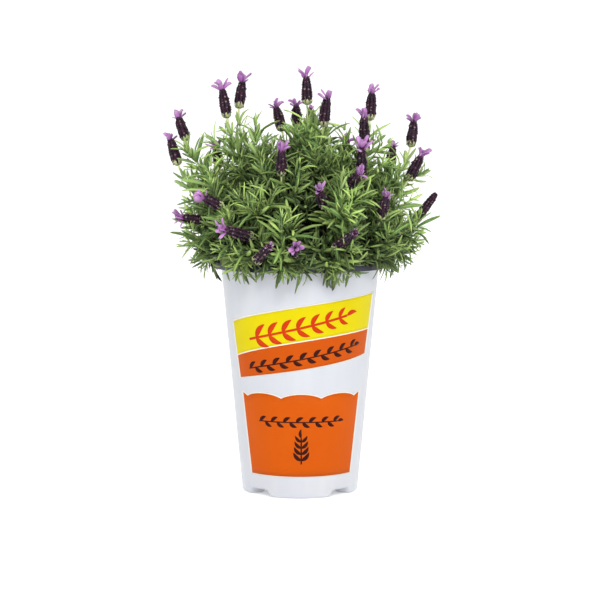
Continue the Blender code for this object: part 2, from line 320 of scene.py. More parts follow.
def makeLeafGreen(name, dark, middle, light, under):
    material, tree = newMaterial(
        name, Roughness=0.62, Sheen_Weight=0.08, Sheen_Roughness=0.5,
        Sheen_Tint=rgb(205, 222, 180), Specular_IOR_Level=0.3,
    )
    tint, along, across = bladeMarks(tree)
    fine = objectNoise(tree, 900, 4)
    broad = objectNoise(tree, 38, 2)
    share = calc(tree, "MULTIPLY_ADD", broad, 0.42, times(tree, tint, 0.8))
    green = ramp(tree, share, [(0.12, dark), (0.5, middle), (0.98, light)])
    # whole branches lean to a greyer green
    green = tinge(tree, green, rgb(126, 150, 100), objectNoise(tree, 55, 1), 0.5, 0.68, 0.0, 0.45)
    # young leaves at a shoot's tip are yellower and lighter
    green = tinge(tree, green, light, attribute(tree, "along"), 0.72, 1.0, 0.0, 0.5)
    # the pale midrib, painted shade at the leaf's base where it sits among the other leaves, and the
    # underside with its bloom
    green = tinge(tree, green, light, across, 0.0, 0.28, 0.5, 0.0)
    green = tinge(tree, green, dark, along, 0.0, 0.45, 0.42, 0.0)
    green = mixColour(tree, attribute(tree, "under"), green, under)
    green = tinge(tree, green, under, fine, 0.45, 0.75, 0.0, 0.3)
    # some leaves have a dusky tip
    dusky = times(tree, mapRange(tree, tint, 0.86, 0.92), mapRange(tree, along, 0.74, 0.96))
    green = mixColour(tree, times(tree, dusky, 0.8), green, rgb(74, 62, 66))
    # the rim of a leaf is paler, from its rolled edge
    green = tinge(tree, green, rgb(174, 200, 124), across, 0.72, 1.0, 0.0, 0.42)
    # painted shade: leaves deep inside the bush are darkened towards near black
    green = mixColour(tree, bushDepth(tree), green, rgb(7, 14, 5))
    rough = mapRange(tree, fine, 0.3, 0.7, 0.5, 0.74)
    return finishMaterial(material, green, fine, 0.35, 0.0002, rough)


leafGreen = makeLeafGreen(
    "leafGreen", rgb(20, 42, 17), rgb(93, 137, 60), rgb(200, 232, 124), rgb(172, 200, 136)
)


def makeStemGreen(name, stops):
    material, tree = newMaterial(name, Roughness=0.6, Sheen_Weight=0.2)
    streak = objectNoise(tree, 420, 3, 0.5, (1, 1, 0.25))
    green = ramp(tree, attribute(tree, "along"), stops)
    green = tinge(tree, green, rgb(190, 204, 150), streak, 0.4, 0.75, 0.0, 0.35)
    return finishMaterial(material, green, streak, 0.4, 0.0003)


stemGreen = makeStemGreen("stemGreen", [
    (0.0, rgb(100, 88, 58)), (0.2, rgb(128, 152, 82)), (0.6, rgb(172, 200, 114)),
    (1.0, rgb(200, 222, 138)),
])
stalkGreen = makeStemGreen("stalkGreen", [
    (0.0, rgb(82, 70, 46)), (0.3, rgb(104, 128, 62)), (0.8, rgb(160, 184, 104)),
    (1.0, rgb(214, 216, 152)),
])
calyxPale = makeStemGreen("calyxPale", [(0.0, rgb(186, 194, 136)), (1.0, rgb(212, 212, 164))])


def makeSpikePurple(name, stops, edge):
    # the bracts of the spike: near black at the foot, mauve at the rim of each scale
    material, tree = newMaterial(
        name, Roughness=0.7, Sheen_Weight=0.03, Sheen_Tint=rgb(200, 170, 205), Specular_IOR_Level=0.2
    )
    tint, along, across = bladeMarks(tree)
    fine = objectNoise(tree, 1400, 3)
    share = calc(tree, "MULTIPLY_ADD", fine, 0.5, times(tree, tint, 0.6))
    colour = ramp(tree, share, stops)
    rim = calc(tree, "MAXIMUM", mapRange(tree, across, 0.6, 1.0), mapRange(tree, along, 0.85, 1.0))
    colour = mixColour(tree, times(tree, rim, 0.7), colour, edge)
    return finishMaterial(material, colour, fine, 0.4, 0.0002)


spikePurple = makeSpikePurple(
    "spikePurple",
    [(0.1, rgb(13, 4, 11)), (0.55, rgb(31, 12, 26)), (0.95, rgb(60, 28, 50))],
    rgb(104, 68, 90),
)


def makeTuftViolet():
    # the showy bracts at the top: orchid, with dark veins down the middle and paler rims
    material, tree = newMaterial(
        "tuftViolet", Roughness=0.55, Sheen_Weight=0.2, Sheen_Tint=rgb(240, 210, 250)
    )
    tint, along, across = bladeMarks(tree)
    colour = ramp(
        tree, calc(tree, "MULTIPLY_ADD", tint, 0.35, times(tree, along, 0.65)),
        [(0.0, rgb(116, 50, 124)), (0.35, rgb(166, 94, 172)), (0.75, rgb(196, 142, 202))],
    )
    vein = addNode(
        tree, "ShaderNodeTexWave",
        {"Vector": addNode(tree, "ShaderNodeCombineXYZ", {0: across}).outputs[0], "Scale": 1.5},
    ).outputs["Fac"]
    veins = times(tree, mapRange(tree, vein, 0.7, 1.0, 0.0, 0.55),
                  mapRange(tree, along, 0.35, 0.95, 1.0, 0.0))
    colour = mixColour(tree, veins, colour, rgb(98, 38, 112))
    rib = times(tree, mapRange(tree, across, 0.0, 0.2, 0.7, 0.0),
                mapRange(tree, along, 0.2, 0.85, 1.0, 0.0))
    colour = mixColour(tree, rib, colour, rgb(86, 32, 104))
    colour = tinge(tree, colour, rgb(176, 150, 168), along, 0.82, 1.0, 0.0, 0.4)
    return finishMaterial(material, colour, objectNoise(tree, 1100, 2), 0.25, 0.0002)


tuftViolet = makeTuftViolet()


def makeFloretDark():
    material, tree = newMaterial("floretDark", Roughness=0.5)
    tint, along, _ = bladeMarks(tree)
    lobes = ramp(
        tree, along, [(0.0, rgb(222, 212, 178)), (0.35, rgb(150, 126, 122)), (0.6, rgb(46, 24, 50))]
    )
    closed = ramp(tree, along, [(0.0, rgb(52, 24, 58)), (0.7, rgb(24, 10, 34))])
    return finishMaterial(material, tinge(tree, closed, lobes, tint, 0.54, 0.58))


floretDark = makeFloretDark()


def makeBark():
    material, tree = newMaterial("crownBark", Roughness=0.85)
    grain = objectNoise(tree, 260, 5, 0.65, (1, 1, 0.3))
    colour = ramp(
        tree, grain, [(0.3, rgb(48, 36, 26)), (0.55, rgb(98, 78, 54)), (0.8, rgb(146, 128, 96))]
    )
    return finishMaterial(material, colour, grain, 0.8, 0.0012)


crownBark = makeBark()


def makeSoil(name, stops, scale, depth):
    material, tree = newMaterial(name, Roughness=0.92, Specular_IOR_Level=0.25)
    grain = objectNoise(tree, scale, 6, 0.7)
    share = calc(tree, "MULTIPLY_ADD", grain, 0.6, times(tree, attribute(tree, "tint"), 0.45))
    return finishMaterial(material, ramp(tree, share, stops), grain, 0.9, depth)


peatBrown = makeSoil(
    "peatBrown", [(0.2, rgb(26, 19, 13)), (0.45, rgb(52, 38, 26)), (0.75, rgb(86, 66, 46))], 320, 0.001
)
barkChip = makeSoil(
    "barkChip", [(0.2, rgb(58, 38, 24)), (0.5, rgb(102, 70, 44)), (0.85, rgb(150, 112, 76))], 500, 0.0006
)
perliteWhite = makeSoil(
    "perliteWhite",
    [(0.2, rgb(196, 192, 184)), (0.5, rgb(226, 224, 218)), (0.9, rgb(246, 245, 242))], 800, 0.0004,
)


def makePotPlastic(name, colour, shade, rough, gloss):
    # thin formed sheet: faint drawn lines up the wall, a slight orange peel and dulled patches
    material, tree = newMaterial(name, Coat_Weight=gloss, Coat_Roughness=0.18)
    drawn = objectNoise(tree, 60, 3, 0.5, (1, 1, 0.04))
    patch = objectNoise(tree, 14, 4, 0.6)
    share = calc(tree, "MULTIPLY_ADD", drawn, 0.5, times(tree, patch, 0.5))
    mixed = tinge(tree, shade, colour, share, 0.35, 0.65)
    height = calc(tree, "MULTIPLY_ADD", objectNoise(tree, 1500, 2), 0.25, drawn)
    dulled = mapRange(tree, patch, 0.3, 0.7, rough - 0.06, rough + 0.08)
    return finishMaterial(material, mixed, height, 0.15, 0.0004, dulled)


potWhite = makePotPlastic("potWhite", rgb(198, 201, 206), rgb(191, 194, 202), 0.36, 0.12)
potNavy = makePotPlastic("potNavy", rgb(35, 37, 54), rgb(27, 29, 44), 0.42, 0.1)


def makePrint(name, colour, shade):
    # printing ink: flat colour with a fine screen of dots, and a little less gloss than the sheet
    material, tree = newMaterial(name, Roughness=0.42, Specular_IOR_Level=0.1)
    patch = objectNoise(tree, 22, 4, 0.6)
    dots = addNode(
        tree, "ShaderNodeTexVoronoi",
        {"Vector": addNode(tree, "ShaderNodeTexCoord").outputs["Object"], "Scale": 2600.0,
         "Randomness": 0.15},
    ).outputs["Distance"]
    share = calc(tree, "MULTIPLY_ADD", dots, 0.25, times(tree, patch, 0.75))
    mixed = tinge(tree, colour, shade, share, 0.3, 0.7)
    return finishMaterial(material, mixed, rough=mapRange(tree, patch, 0.3, 0.7, 0.36, 0.48))


printYellow = makePrint("printYellow", rgb(212, 198, 0), rgb(205, 188, 0))
printOrange = makePrint("printOrange", rgb(198, 85, 0), rgb(192, 80, 0))
printAmber = makePrint("printAmber", rgb(192, 80, 0), rgb(186, 75, 0))
printRed = makePrint("printRed", rgb(200, 58, 8), rgb(190, 48, 6))
printBrown = makePrint("printBrown", rgb(58, 18, 8), rgb(46, 12, 6))
printWhite = makePrint("printWhite", rgb(232, 228, 216), rgb(226, 222, 210))
print("materials ready")


# blades: the small shapes that the trees repeat

def makeBlade(name, length, width, ribs, curl, cup, twist=0.0, droop=0.0, thick=0.09):
    # a closed thin blade along +Y, its upper face towards +Z; ribs are (share of length, width)
    # curl bends it out along its length, cup raises or lowers its edges
    bm = bmesh.new()
    alongLayer = bm.verts.layers.float.new("bladeAlong")
    acrossLayer = bm.verts.layers.float.new("bladeAcross")
    underLayer = bm.verts.layers.float.new("under")
    section = [(-0.5, 1.0, 0.0), (-0.26, 0.3, 0.0), (0.0, 0.0, 0.0), (0.26, 0.3, 0.0),
               (0.5, 1.0, 0.0), (0.0, -1.0, 1.0)]
    rings = []
    for share, girth in ribs:
        bend = curl * share
        middle = length * share * Vector((0, math.cos(bend * 0.5), -math.sin(bend * 0.5)))
        middle.z -= droop * length * share * share
        turn = Matrix.Rotation(-bend, 3, "X") @ Matrix.Rotation(twist * share, 3, "Y")
        ring = []
        for side, edge, under in section:
            wide = width * girth
            lift = cup * wide * edge if edge >= 0 else -thick * wide - 0.00008
            if edge == 0.3:
                lift = cup * wide * 0.16 + thick * wide * 0.5
            vert = bm.verts.new(middle + turn @ Vector((side * wide, 0, lift)))
            vert[alongLayer] = share
            vert[acrossLayer] = abs(side) * 2
            vert[underLayer] = under
            ring.append(vert)
        rings.append(ring)
    for low, high in zip(rings, rings[1:]):
        bridge(bm, low, high)
    bm.faces.new(rings[0]).smooth = True
    bm.faces.new(rings[-1]).smooth = True
    return bpy.data.objects.new(name, makeMesh(bm, name))


def gather(name, shapes):
    # the shapes that one tree chooses from; the collection stays out of the scene
    collection = bpy.data.collections.new(name)
    for shape in shapes:
        collection.objects.link(shape)
    return collection


leafSize = {"length": 20 * mm, "width": 2.9 * mm}
leafRibs = ((0.0, 0.36), (0.18, 0.7), (0.42, 0.98), (0.68, 1.0), (0.9, 0.66), (1.0, 0.16))
# each leaf: share of the usual length and width, curl, cup and twist
leafKinds = {
    "leafA": (1, 1, 0.35, -0.24, 0.3),
    "leafB": (1.15, 0.86, 0.85, -0.32, -0.5),
    "leafC": (0.85, 1.05, -0.3, -0.18, 0.6),
    "leafD": (1.25, 1, 1.15, -0.28, 0.1),
    "leafE": (1.1, 1.4, 0.6, -0.3, -0.2),
}
leafShapes = gather("leafShapes", [
    makeBlade(name, leafSize["length"] * long, leafSize["width"] * wide, leafRibs, *bends)
    for name, (long, wide, *bends) in leafKinds.items()
])
bractRibs = ((0.0, 0.7), (0.3, 1.0), (0.62, 0.92), (0.86, 0.5), (1.0, 0.08))
bractShapes = gather("bractShapes", [
    makeBlade("bractA", 5.0 * mm, 3.5 * mm, bractRibs, -0.5, -0.35),
    makeBlade("bractB", 5.4 * mm, 3.3 * mm, bractRibs, -0.35, -0.42),
])
calyxShapes = gather("calyxShapes", [
    makeBlade("calyxA", 5.2 * mm, 2.6 * mm, ((0.0, 0.5), (0.4, 1.0), (0.8, 0.8), (1.0, 0.2)), -0.5, -0.4),
])
petalRibs = ((0.0, 0.42), (0.2, 0.56), (0.42, 0.84), (0.64, 1.0), (0.84, 0.96), (0.95, 0.76), (1.0, 0.4))
petalShapes = gather("petalShapes", [
    makeBlade("petalA", 9.4 * mm, 4.0 * mm, petalRibs, 0.4, 0.2, 0.5, 0.1, 0.03),
    makeBlade("petalB", 9.0 * mm, 3.5 * mm, petalRibs, 0.95, 0.34, -0.9, 0.1, 0.03),
    makeBlade("petalC", 8.0 * mm, 4.3 * mm, petalRibs, -0.35, -0.24, 1.0, 0.0, 0.03),
    makeBlade("petalD", 8.6 * mm, 3.8 * mm, petalRibs, 0.7, -0.28, -0.4, 0.2, 0.03),
])


def makeFloret(name, lobes, length, spread):
    # a tiny tube flower: a short neck and rounded lobes that fold back
    bm = bmesh.new()
    alongLayer = bm.verts.layers.float.new("bladeAlong")
    sides = lobes * 2
    rings = []
    for share, radius, lobe in ((0.0, 0.3, 0), (0.55, 0.42, 0), (0.85, 0.9, 0.25), (0.8, 1.5, 0.55)):
        ring = []
        for index in range(sides):
            angle = 2 * math.pi * index / sides
            reach = radius * spread * (1 + lobe * (0.5 if index % 2 else -0.5))
            vert = bm.verts.new((reach * math.cos(angle), length * share, reach * math.sin(angle)))
            vert[alongLayer] = {0.0: 0.9, 0.55: 0.6, 0.85: 0.35, 0.8: 1.0}[share]
            ring.append(vert)
        rings.append(ring)
    for low, high in zip(rings, rings[1:]):
        bridge(bm, low, high, False)
    bm.faces.new(rings[0])
    throat = bm.verts.new((0, length * 0.62, 0))
    cap(bm, rings[-1], throat)
    return bpy.data.objects.new(name, makeMesh(bm, name))


floretShapes = gather("floretShapes", [
    makeFloret("floretOpen", 5, 2.6 * mm, 0.78 * mm),
    makeFloret("floretShut", 4, 2.2 * mm, 0.6 * mm),
])
print("blades ready")


# the tree that sets whorls of blades along a curve

def clearOfWall(tree, reach, size):
    # one where a blade stays on its side of the pot's wall, zero where it would pass through
    place = placeOf(tree)
    tip = vecCalc(tree, "ADD", place, vecCalc(tree, "SCALE", reach, size))
    root, end = (
        vecCalc(tree, "LENGTH", vecCalc(tree, "MULTIPLY", spot, (1, 1, 0))) for spot in (place, tip)
    )
    low = calc(tree, "LESS_THAN", heightOf(tree, tip), potHigh.z + 0.5 * mm)
    outward = times(tree, calc(tree, "LESS_THAN", root, potHigh.x),
                    calc(tree, "GREATER_THAN", end, potHigh.x - 10 * mm))
    inward = times(tree, calc(tree, "GREATER_THAN", root, potHigh.x),
                   calc(tree, "LESS_THAN", end, potHigh.x + 0.5 * mm))
    return calc(tree, "SUBTRACT", 1.0, times(tree, low, calc(tree, "MAXIMUM", outward, inward)))


def makeWhorlTree():
    tree, given, out = newTree("whorls", {
        "Shapes": "Collection", "Per Whorl": 2, "Turn": 90.0, "Start Angle": 0.0,
        "Splay Low": 60.0, "Splay High": 25.0, "Splay Spread": 10.0, "Turn Spread": 12.0,
        "Roll Spread": 20.0, "Standoff": 0.0, "Size": 1.0, "Size Spread": 0.15, "Lift": 0.0,
        "Keep": 1.0, "Reach": 0.0, "Seed": 0,
    })
    value = given.outputs
    seeds = [calc(tree, "ADD", value["Seed"], float(step)) for step in range(7)]

    def spread(index, label, base):
        # the base value, more or less by a random share of an input
        return calc(tree, "MULTIPLY_ADD", randomValue(tree, -1.0, 1.0, seeds[index]), value[label], base)

    def rotated(vector, axis, angle):
        given = {"Vector": vector, "Axis": axis, "Angle": calc(tree, "RADIANS", angle)}
        return addNode(tree, "ShaderNodeVectorRotate", given).outputs[0]

    def mixed(operation, a, shareA, b, shareB):
        first, second = vecCalc(tree, "SCALE", a, shareA), vecCalc(tree, "SCALE", b, shareB)
        return vecCalc(tree, operation, first, second)

    line = addNode(tree, "GeometryNodeSplineParameter")
    curve = storeValue(tree, value["Geometry"], "whorl", line.outputs["Index"])
    points = addNode(tree, "GeometryNodeCurveToPoints", {"Curve": curve}, mode="EVALUATED")
    copies = addNode(
        tree, "GeometryNodeDuplicateElements",
        {"Geometry": points.outputs["Points"], "Amount": value["Per Whorl"]}, domain="POINT",
    )
    tangent = points.outputs["Tangent"]
    # each blade's turn round the stem
    step = calc(tree, "DIVIDE", 360.0, value["Per Whorl"])
    angle = calc(tree, "MULTIPLY_ADD", readValue(tree, "whorl"), value["Turn"], value["Start Angle"])
    angle = calc(tree, "MULTIPLY_ADD", copies.outputs["Duplicate Index"], step, angle)
    radial = rotated(points.outputs["Normal"], tangent, spread(0, "Turn Spread", angle))
    # its lean away from the stem, its lift and its roll
    splay = blendValue(tree, readValue(tree, "along"), value["Splay Low"], value["Splay High"])
    splay = calc(tree, "RADIANS", spread(1, "Splay Spread", splay))
    sine, cosine = calc(tree, "SINE", splay), calc(tree, "COSINE", splay)
    lift = addNode(tree, "ShaderNodeCombineXYZ", {2: value["Lift"]}).outputs[0]
    way = vecCalc(tree, "ADD", mixed("ADD", tangent, cosine, radial, sine), lift)
    way = vecCalc(tree, "NORMALIZE", way)
    face = mixed("SUBTRACT", tangent, sine, radial, cosine)
    face = rotated(face, way, spread(2, "Roll Spread", 0.0))
    turn = addNode(
        tree, "FunctionNodeAxesToRotation", {"Primary Axis": way, "Secondary Axis": face},
        primary_axis="Y", secondary_axis="Z",
    ).outputs[0]
    moved = addNode(
        tree, "GeometryNodeSetPosition",
        {"Geometry": copies.outputs["Geometry"],
         "Offset": vecCalc(tree, "SCALE", radial, value["Standoff"])},
    ).outputs[0]
    size = times(tree, value["Size"], spread(3, "Size Spread", 1.0))
    kept = calc(tree, "LESS_THAN", randomValue(tree, 0.0, 1.0, seeds[5]), value["Keep"])
    kept = times(tree, kept, clearOfWall(tree, vecCalc(tree, "SCALE", way, value["Reach"]), size))
    made = placeShapes(
        tree, moved, value["Shapes"], 11, seeds[4], seeds[6], Selection=kept, Rotation=turn, Scale=size
    )
    tree.links.new(made, out.inputs[0])
    return tree


whorls = makeWhorlTree()


def addWhorls(tree, curve, material, **values):
    group = addNode(tree, "GeometryNodeGroup", node_tree=whorls)
    plug(tree, group.inputs["Geometry"], curve)
    for label, value in values.items():
        plug(tree, group.inputs[label.replace("_", " ")], value)
    return painted(tree, group.outputs[0], material)


def addTube(tree, curve, material, radius, sides):
    # a round stem along the curve; the radius is a field of the curve's points
    sized = addNode(tree, "GeometryNodeSetCurveRadius", {"Curve": curve, "Radius": radius}).outputs[0]
    ring = addNode(tree, "GeometryNodeCurvePrimitiveCircle", {"Resolution": sides, "Radius": 1.0})
    made = addNode(
        tree, "GeometryNodeCurveToMesh",
        {"Curve": sized, "Profile Curve": ring.outputs[0], "Fill Caps": True},
    )
    if "Scale" in made.inputs:
        plug(tree, made.inputs["Scale"], radius)
    smooth = addNode(tree, "GeometryNodeSetShadeSmooth", {0: made.outputs[0]}).outputs[0]
    return painted(tree, smooth, material)


def trimmed(tree, curve, low, high):
    given = {"Curve": curve, 2: low, 3: high}
    return addNode(tree, "GeometryNodeTrimCurve", given, mode="FACTOR").outputs[0]


def resampled(tree, curve, count=None, length=None):
    node = addNode(
        tree, "GeometryNodeResampleCurve", {"Curve": curve}, mode="COUNT" if count else "LENGTH"
    )
    plug(tree, node.inputs["Count" if count else "Length"], count or length)
    return node.outputs[0]


def withAlong(tree, curve):
    line = addNode(tree, "GeometryNodeSplineParameter")
    return storeValue(tree, curve, "along", line.outputs["Factor"])


def floatCurve(tree, share, points):
    node = addNode(tree, "ShaderNodeFloatCurve", {"Value": share})
    line = node.mapping.curves[0]
    while len(line.points) < len(points):
        line.points.new(0.5, 0.5)
    for point, place in zip(line.points, points):
        point.location = place
    node.mapping.update()
    return node.outputs[0]


def joined(tree, parts):
    node = addNode(tree, "GeometryNodeJoinGeometry")
    for part in parts:
        tree.links.new(part, node.inputs[0])
    return node.outputs[0]


def finishTree(tree, out, parts):
    tree.links.new(realized(tree, joined(tree, parts)), out.inputs[0])


# how leaves stand in pairs along a stem, and the small ones in their axils
leafPairs = {
    "Shapes": leafShapes, "Reach": leafSize["length"], "Per_Whorl": 2, "Turn": 90.0, "Turn_Spread": 14.0,
    "Standoff": 0.5 * mm, "Size_Spread": 0.2,
}
smallLeaves = {
    "Shapes": leafShapes, "Reach": leafSize["length"], "Per_Whorl": 4, "Turn_Spread": 30.0,
    "Roll_Spread": 40.0, "Standoff": 0.8 * mm, "Size_Spread": 0.3,
}


# leafy shoots

shootValues = {
    "Leaf Spacing": 5.7 * mm,
    "Leaf Size": 1.0,
    "Side Leaf Size": 0.58,
    "Splay Low": 64.0,
    "Splay High": 24.0,
    "Stem Radius": 1.15 * mm,
    "Lift": 0.12,
}


def makeShootTree():
    tree, given, out = newTree("leafyShoot", {**shootValues, "Bare Share": 0.12, "Seed": 0})
    value = given.outputs
    curve = withAlong(tree, resampled(tree, value["Geometry"], length=value["Leaf Spacing"]))
    along = readValue(tree, "along")
    own = addNode(tree, "GeometryNodeInputRadius").outputs[0]
    taper = times(tree, own, mapRange(tree, along, 0.0, 1.0, 1.0, 0.45))
    stem = addTube(tree, curve, stemGreen, times(tree, taper, value["Stem Radius"]), 7)
    # leaves are longest below the middle, small near the tip, and there are none on the bare foot
    profile = floatCurve(tree, along, [(0.0, 0.7), (0.25, 0.95), (0.55, 1.0), (0.85, 0.72), (1.0, 0.42)])
    leafy = isAbove(tree, along, value["Bare Share"])
    pairs = addWhorls(
        tree, curve, leafGreen, **leafPairs, Splay_Low=value["Splay Low"], Splay_High=value["Splay High"],
        Splay_Spread=14.0, Roll_Spread=28.0, Size=times(tree, profile, value["Leaf Size"]),
        Lift=value["Lift"], Keep=times(tree, leafy, 1.1), Seed=value["Seed"],
    )
    small = addWhorls(
        tree, curve, leafGreen, **smallLeaves, Turn=37.0, Splay_Low=52.0, Splay_High=18.0,
        Splay_Spread=16.0, Size=times(tree, profile, value["Side Leaf Size"]), Lift=value["Lift"],
        Keep=times(tree, leafy, 0.8), Seed=calc(tree, "ADD", value["Seed"], 50.0),
    )
    finishTree(tree, out, [stem, pairs, small])
    return tree


shootTree = makeShootTree()


def uniqueSpots(points):
    # the different places among the points, in a fixed order
    rounded = {tuple(round(part, 6) for part in point) for point in points}
    return [Vector(spot) for spot in sorted(rounded)]


def nearGroups(points, link):
    # groups of points, each point within the link distance of another in its group
    spots = uniqueSpots(points)
    left = set(range(len(spots)))
    groups = []
    while left:
        waiting = [left.pop()]
        group = []
        while waiting:
            index = waiting.pop()
            group.append(spots[index])
            close = [other for other in left if (spots[index] - spots[other]).length < link]
            left.difference_update(close)
            waiting.extend(close)
        groups.append(group)
    return groups


def stemPath(node, sides):
    # the middle line of a CAD stem, from its rings, starting at the crown
    points = [vert.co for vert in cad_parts[node].data.vertices]
    rings = [group for group in nearGroups(points, 1.4 * mm) if len(group) == sides]
    middles = [sum(ring, Vector()) / sides for ring in rings]
    return sorted(middles, key=lambda spot: (spot - crownCentre).length), points


def smoothPath(points, count):
    # evenly spaced points along a smooth line through the given ones
    curve = []
    for index in range(len(points) - 1):
        before = points[max(index - 1, 0)]
        here, there = points[index], points[index + 1]
        after = points[min(index + 2, len(points) - 1)]
        for step in range(8):
            t = step / 8
            curve.append(0.5 * (
                2 * here + (there - before) * t + (2 * before - 5 * here + 4 * there - after) * t * t
                + (3 * here - before - 3 * there + after) * t**3))
    curve.append(points[-1])
    lengths = [0]
    for a, b in zip(curve, curve[1:]):
        lengths.append(lengths[-1] + (b - a).length)
    even, spot = [], 0
    for index in range(count):
        want = lengths[-1] * index / (count - 1)
        while spot < len(curve) - 2 and lengths[spot + 1] < want:
            spot += 1
        span = max(lengths[spot + 1] - lengths[spot], 1e-9)
        even.append(curve[spot].lerp(curve[spot + 1], (want - lengths[spot]) / span))
    return even


def newCurve(name, lines):
    # a curve object with one poly spline for each (points, radii)
    data = bpy.data.curves.new(name, "CURVE")
    data.dimensions = "3D"
    for points, radii in lines:
        spline = data.splines.new("POLY")
        spline.points.add(len(points) - 1)
        for target, point, radius in zip(spline.points, points, radii):
            target.co = (*point, 1)
            target.radius = radius
    return newPiece(name, data)


def overRim(point):
    # a branch passes over the pot's rim, and stays above the mix inside it
    radius = Vector((point.x, point.y)).length
    lowest = 0.0
    if radius < potHigh.x - 12 * mm:
        lowest = potHigh.z - 8 * mm
    elif radius < potHigh.x + 4 * mm:
        lowest = potHigh.z + 3 * mm
    return Vector((point.x, point.y, max(point.z, lowest)))


def squareWay(rng, path, place):
    # the way of a path at a place, and a random way square to it
    along = (path[place + 1] - path[place]).normalized()
    return along, along.cross(Vector([rng.gauss(0, 1) for _ in range(3)])).normalized()


def sideShoot(start, way, length, rise, bow=None, girth=0.7):
    # a short branch that leaves the way given and bends up, or down where the rise is negative
    points = []
    here, heading = start.copy(), way.normalized()
    steps = 7
    for _ in range(steps):
        here = overRim(here)
        points.append(here.copy())
        heading = (heading + up * rise / steps + (bow or Vector()) / steps).normalized()
        here += heading * length / (steps - 1)
    return points, [girth - 0.3 * step / (steps - 1) for step in range(steps)]


bushValues = {
    "seed": 7,
    "spinePoints": 24,
    "sideShoots": 10,
    "sideLength": (28 * mm, 50 * mm),
    "sideRise": (0.5, 1.8),
    # drooping shoots, past the rim, on the low ones and more of them in front
    "lowBelow": potHigh.z + 30 * mm,
    "droopShoots": 6,
    "frontDroops": 5,
    "droopLength": (24, 33),
    "droopRise": (-2.0, -0.9),
}


def growShoot(number, rng, values):
    node = f"leafy_shoot_{number:02d}"
    last = values["spinePoints"] - 1
    spine = smoothPath(stemPath(node, 4)[0], values["spinePoints"])
    lines = [(spine, [1 - 0.4 * step / last for step in range(last + 1)])]
    low = spine[-1].z < values["lowBelow"]
    for index in range(values["sideShoots"]):
        share = 0.16 + 0.7 * (index + rng.random() * 0.8) / values["sideShoots"]
        place = min(int(share * last), last - 1)
        along, side = squareWay(rng, spine, place)
        length = rng.uniform(*values["sideLength"]) * (1.15 - 0.55 * share)
        rise = rng.uniform(*values["sideRise"])
        if low and side.z < 0.2:
            side.z = abs(side.z)
        bow = Vector((rng.gauss(0, 0.25), rng.gauss(0, 0.25), 0))
        lines.append(sideShoot(spine[place], along * 0.9 + side * 0.75, length, rise, bow, 0.72))
    if low:
        front = spine[-1].y < -0.5 * Vector((spine[-1].x, spine[-1].y)).length
        for _ in range(values["droopShoots"] + (values["frontDroops"] if front else 0)):
            place = rng.randint(10, 14)
            out = Vector((spine[place].x, spine[place].y, 0)).normalized()
            way = out * 0.8 + out.cross(up) * rng.uniform(-1.1, 1.1) + up * 0.1
            length = rng.uniform(*values["droopLength"]) * mm
            lines.append(sideShoot(spine[place], way, length, rng.uniform(*values["droopRise"])))
    curve = newCurve(node + "Path", lines)
    piece = runTree(curve, shootTree, {"Seed": number * 31}, f"leafyShoot{number:02d}")
    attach(piece, "root")
    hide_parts(node)
    return piece


def growAll(kind, grow):
    # grows every CAD node of one kind
    count = sum(name.startswith(kind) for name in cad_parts)
    pieces = [grow(number + 1) for number in range(count)]
    faces = sum(len(piece.data.polygons) for piece in pieces)
    print(kind, "pieces grown:", count, "faces:", faces)
    return pieces


foliage = growAll("leafy_shoot", lambda number: growShoot(
    number, random.Random(bushValues["seed"] * 1000 + number), bushValues))


# flowering stems

flowerValues = {
    "Stem Radius": 0.95 * mm,
    "Leaf Spacing": 7.0 * mm,
    "Spike Radius": 2.85 * mm,
    "bareStalk": 15 * mm,
    "rowHeight": 2.2 * mm,
    "footGap": 1.6 * mm,
    "sideShoots": 5,
    "sideLength": (28 * mm, 50 * mm),
    "pathPoints": 30,
    # how long a tuft is at its full size, and the longest one that is still a bud
    "tuftLength": 10.8 * mm,
    "budTuft": 5 * mm,
}
flowerInputs = {label: value for label, value in flowerValues.items() if label[0].isupper()}


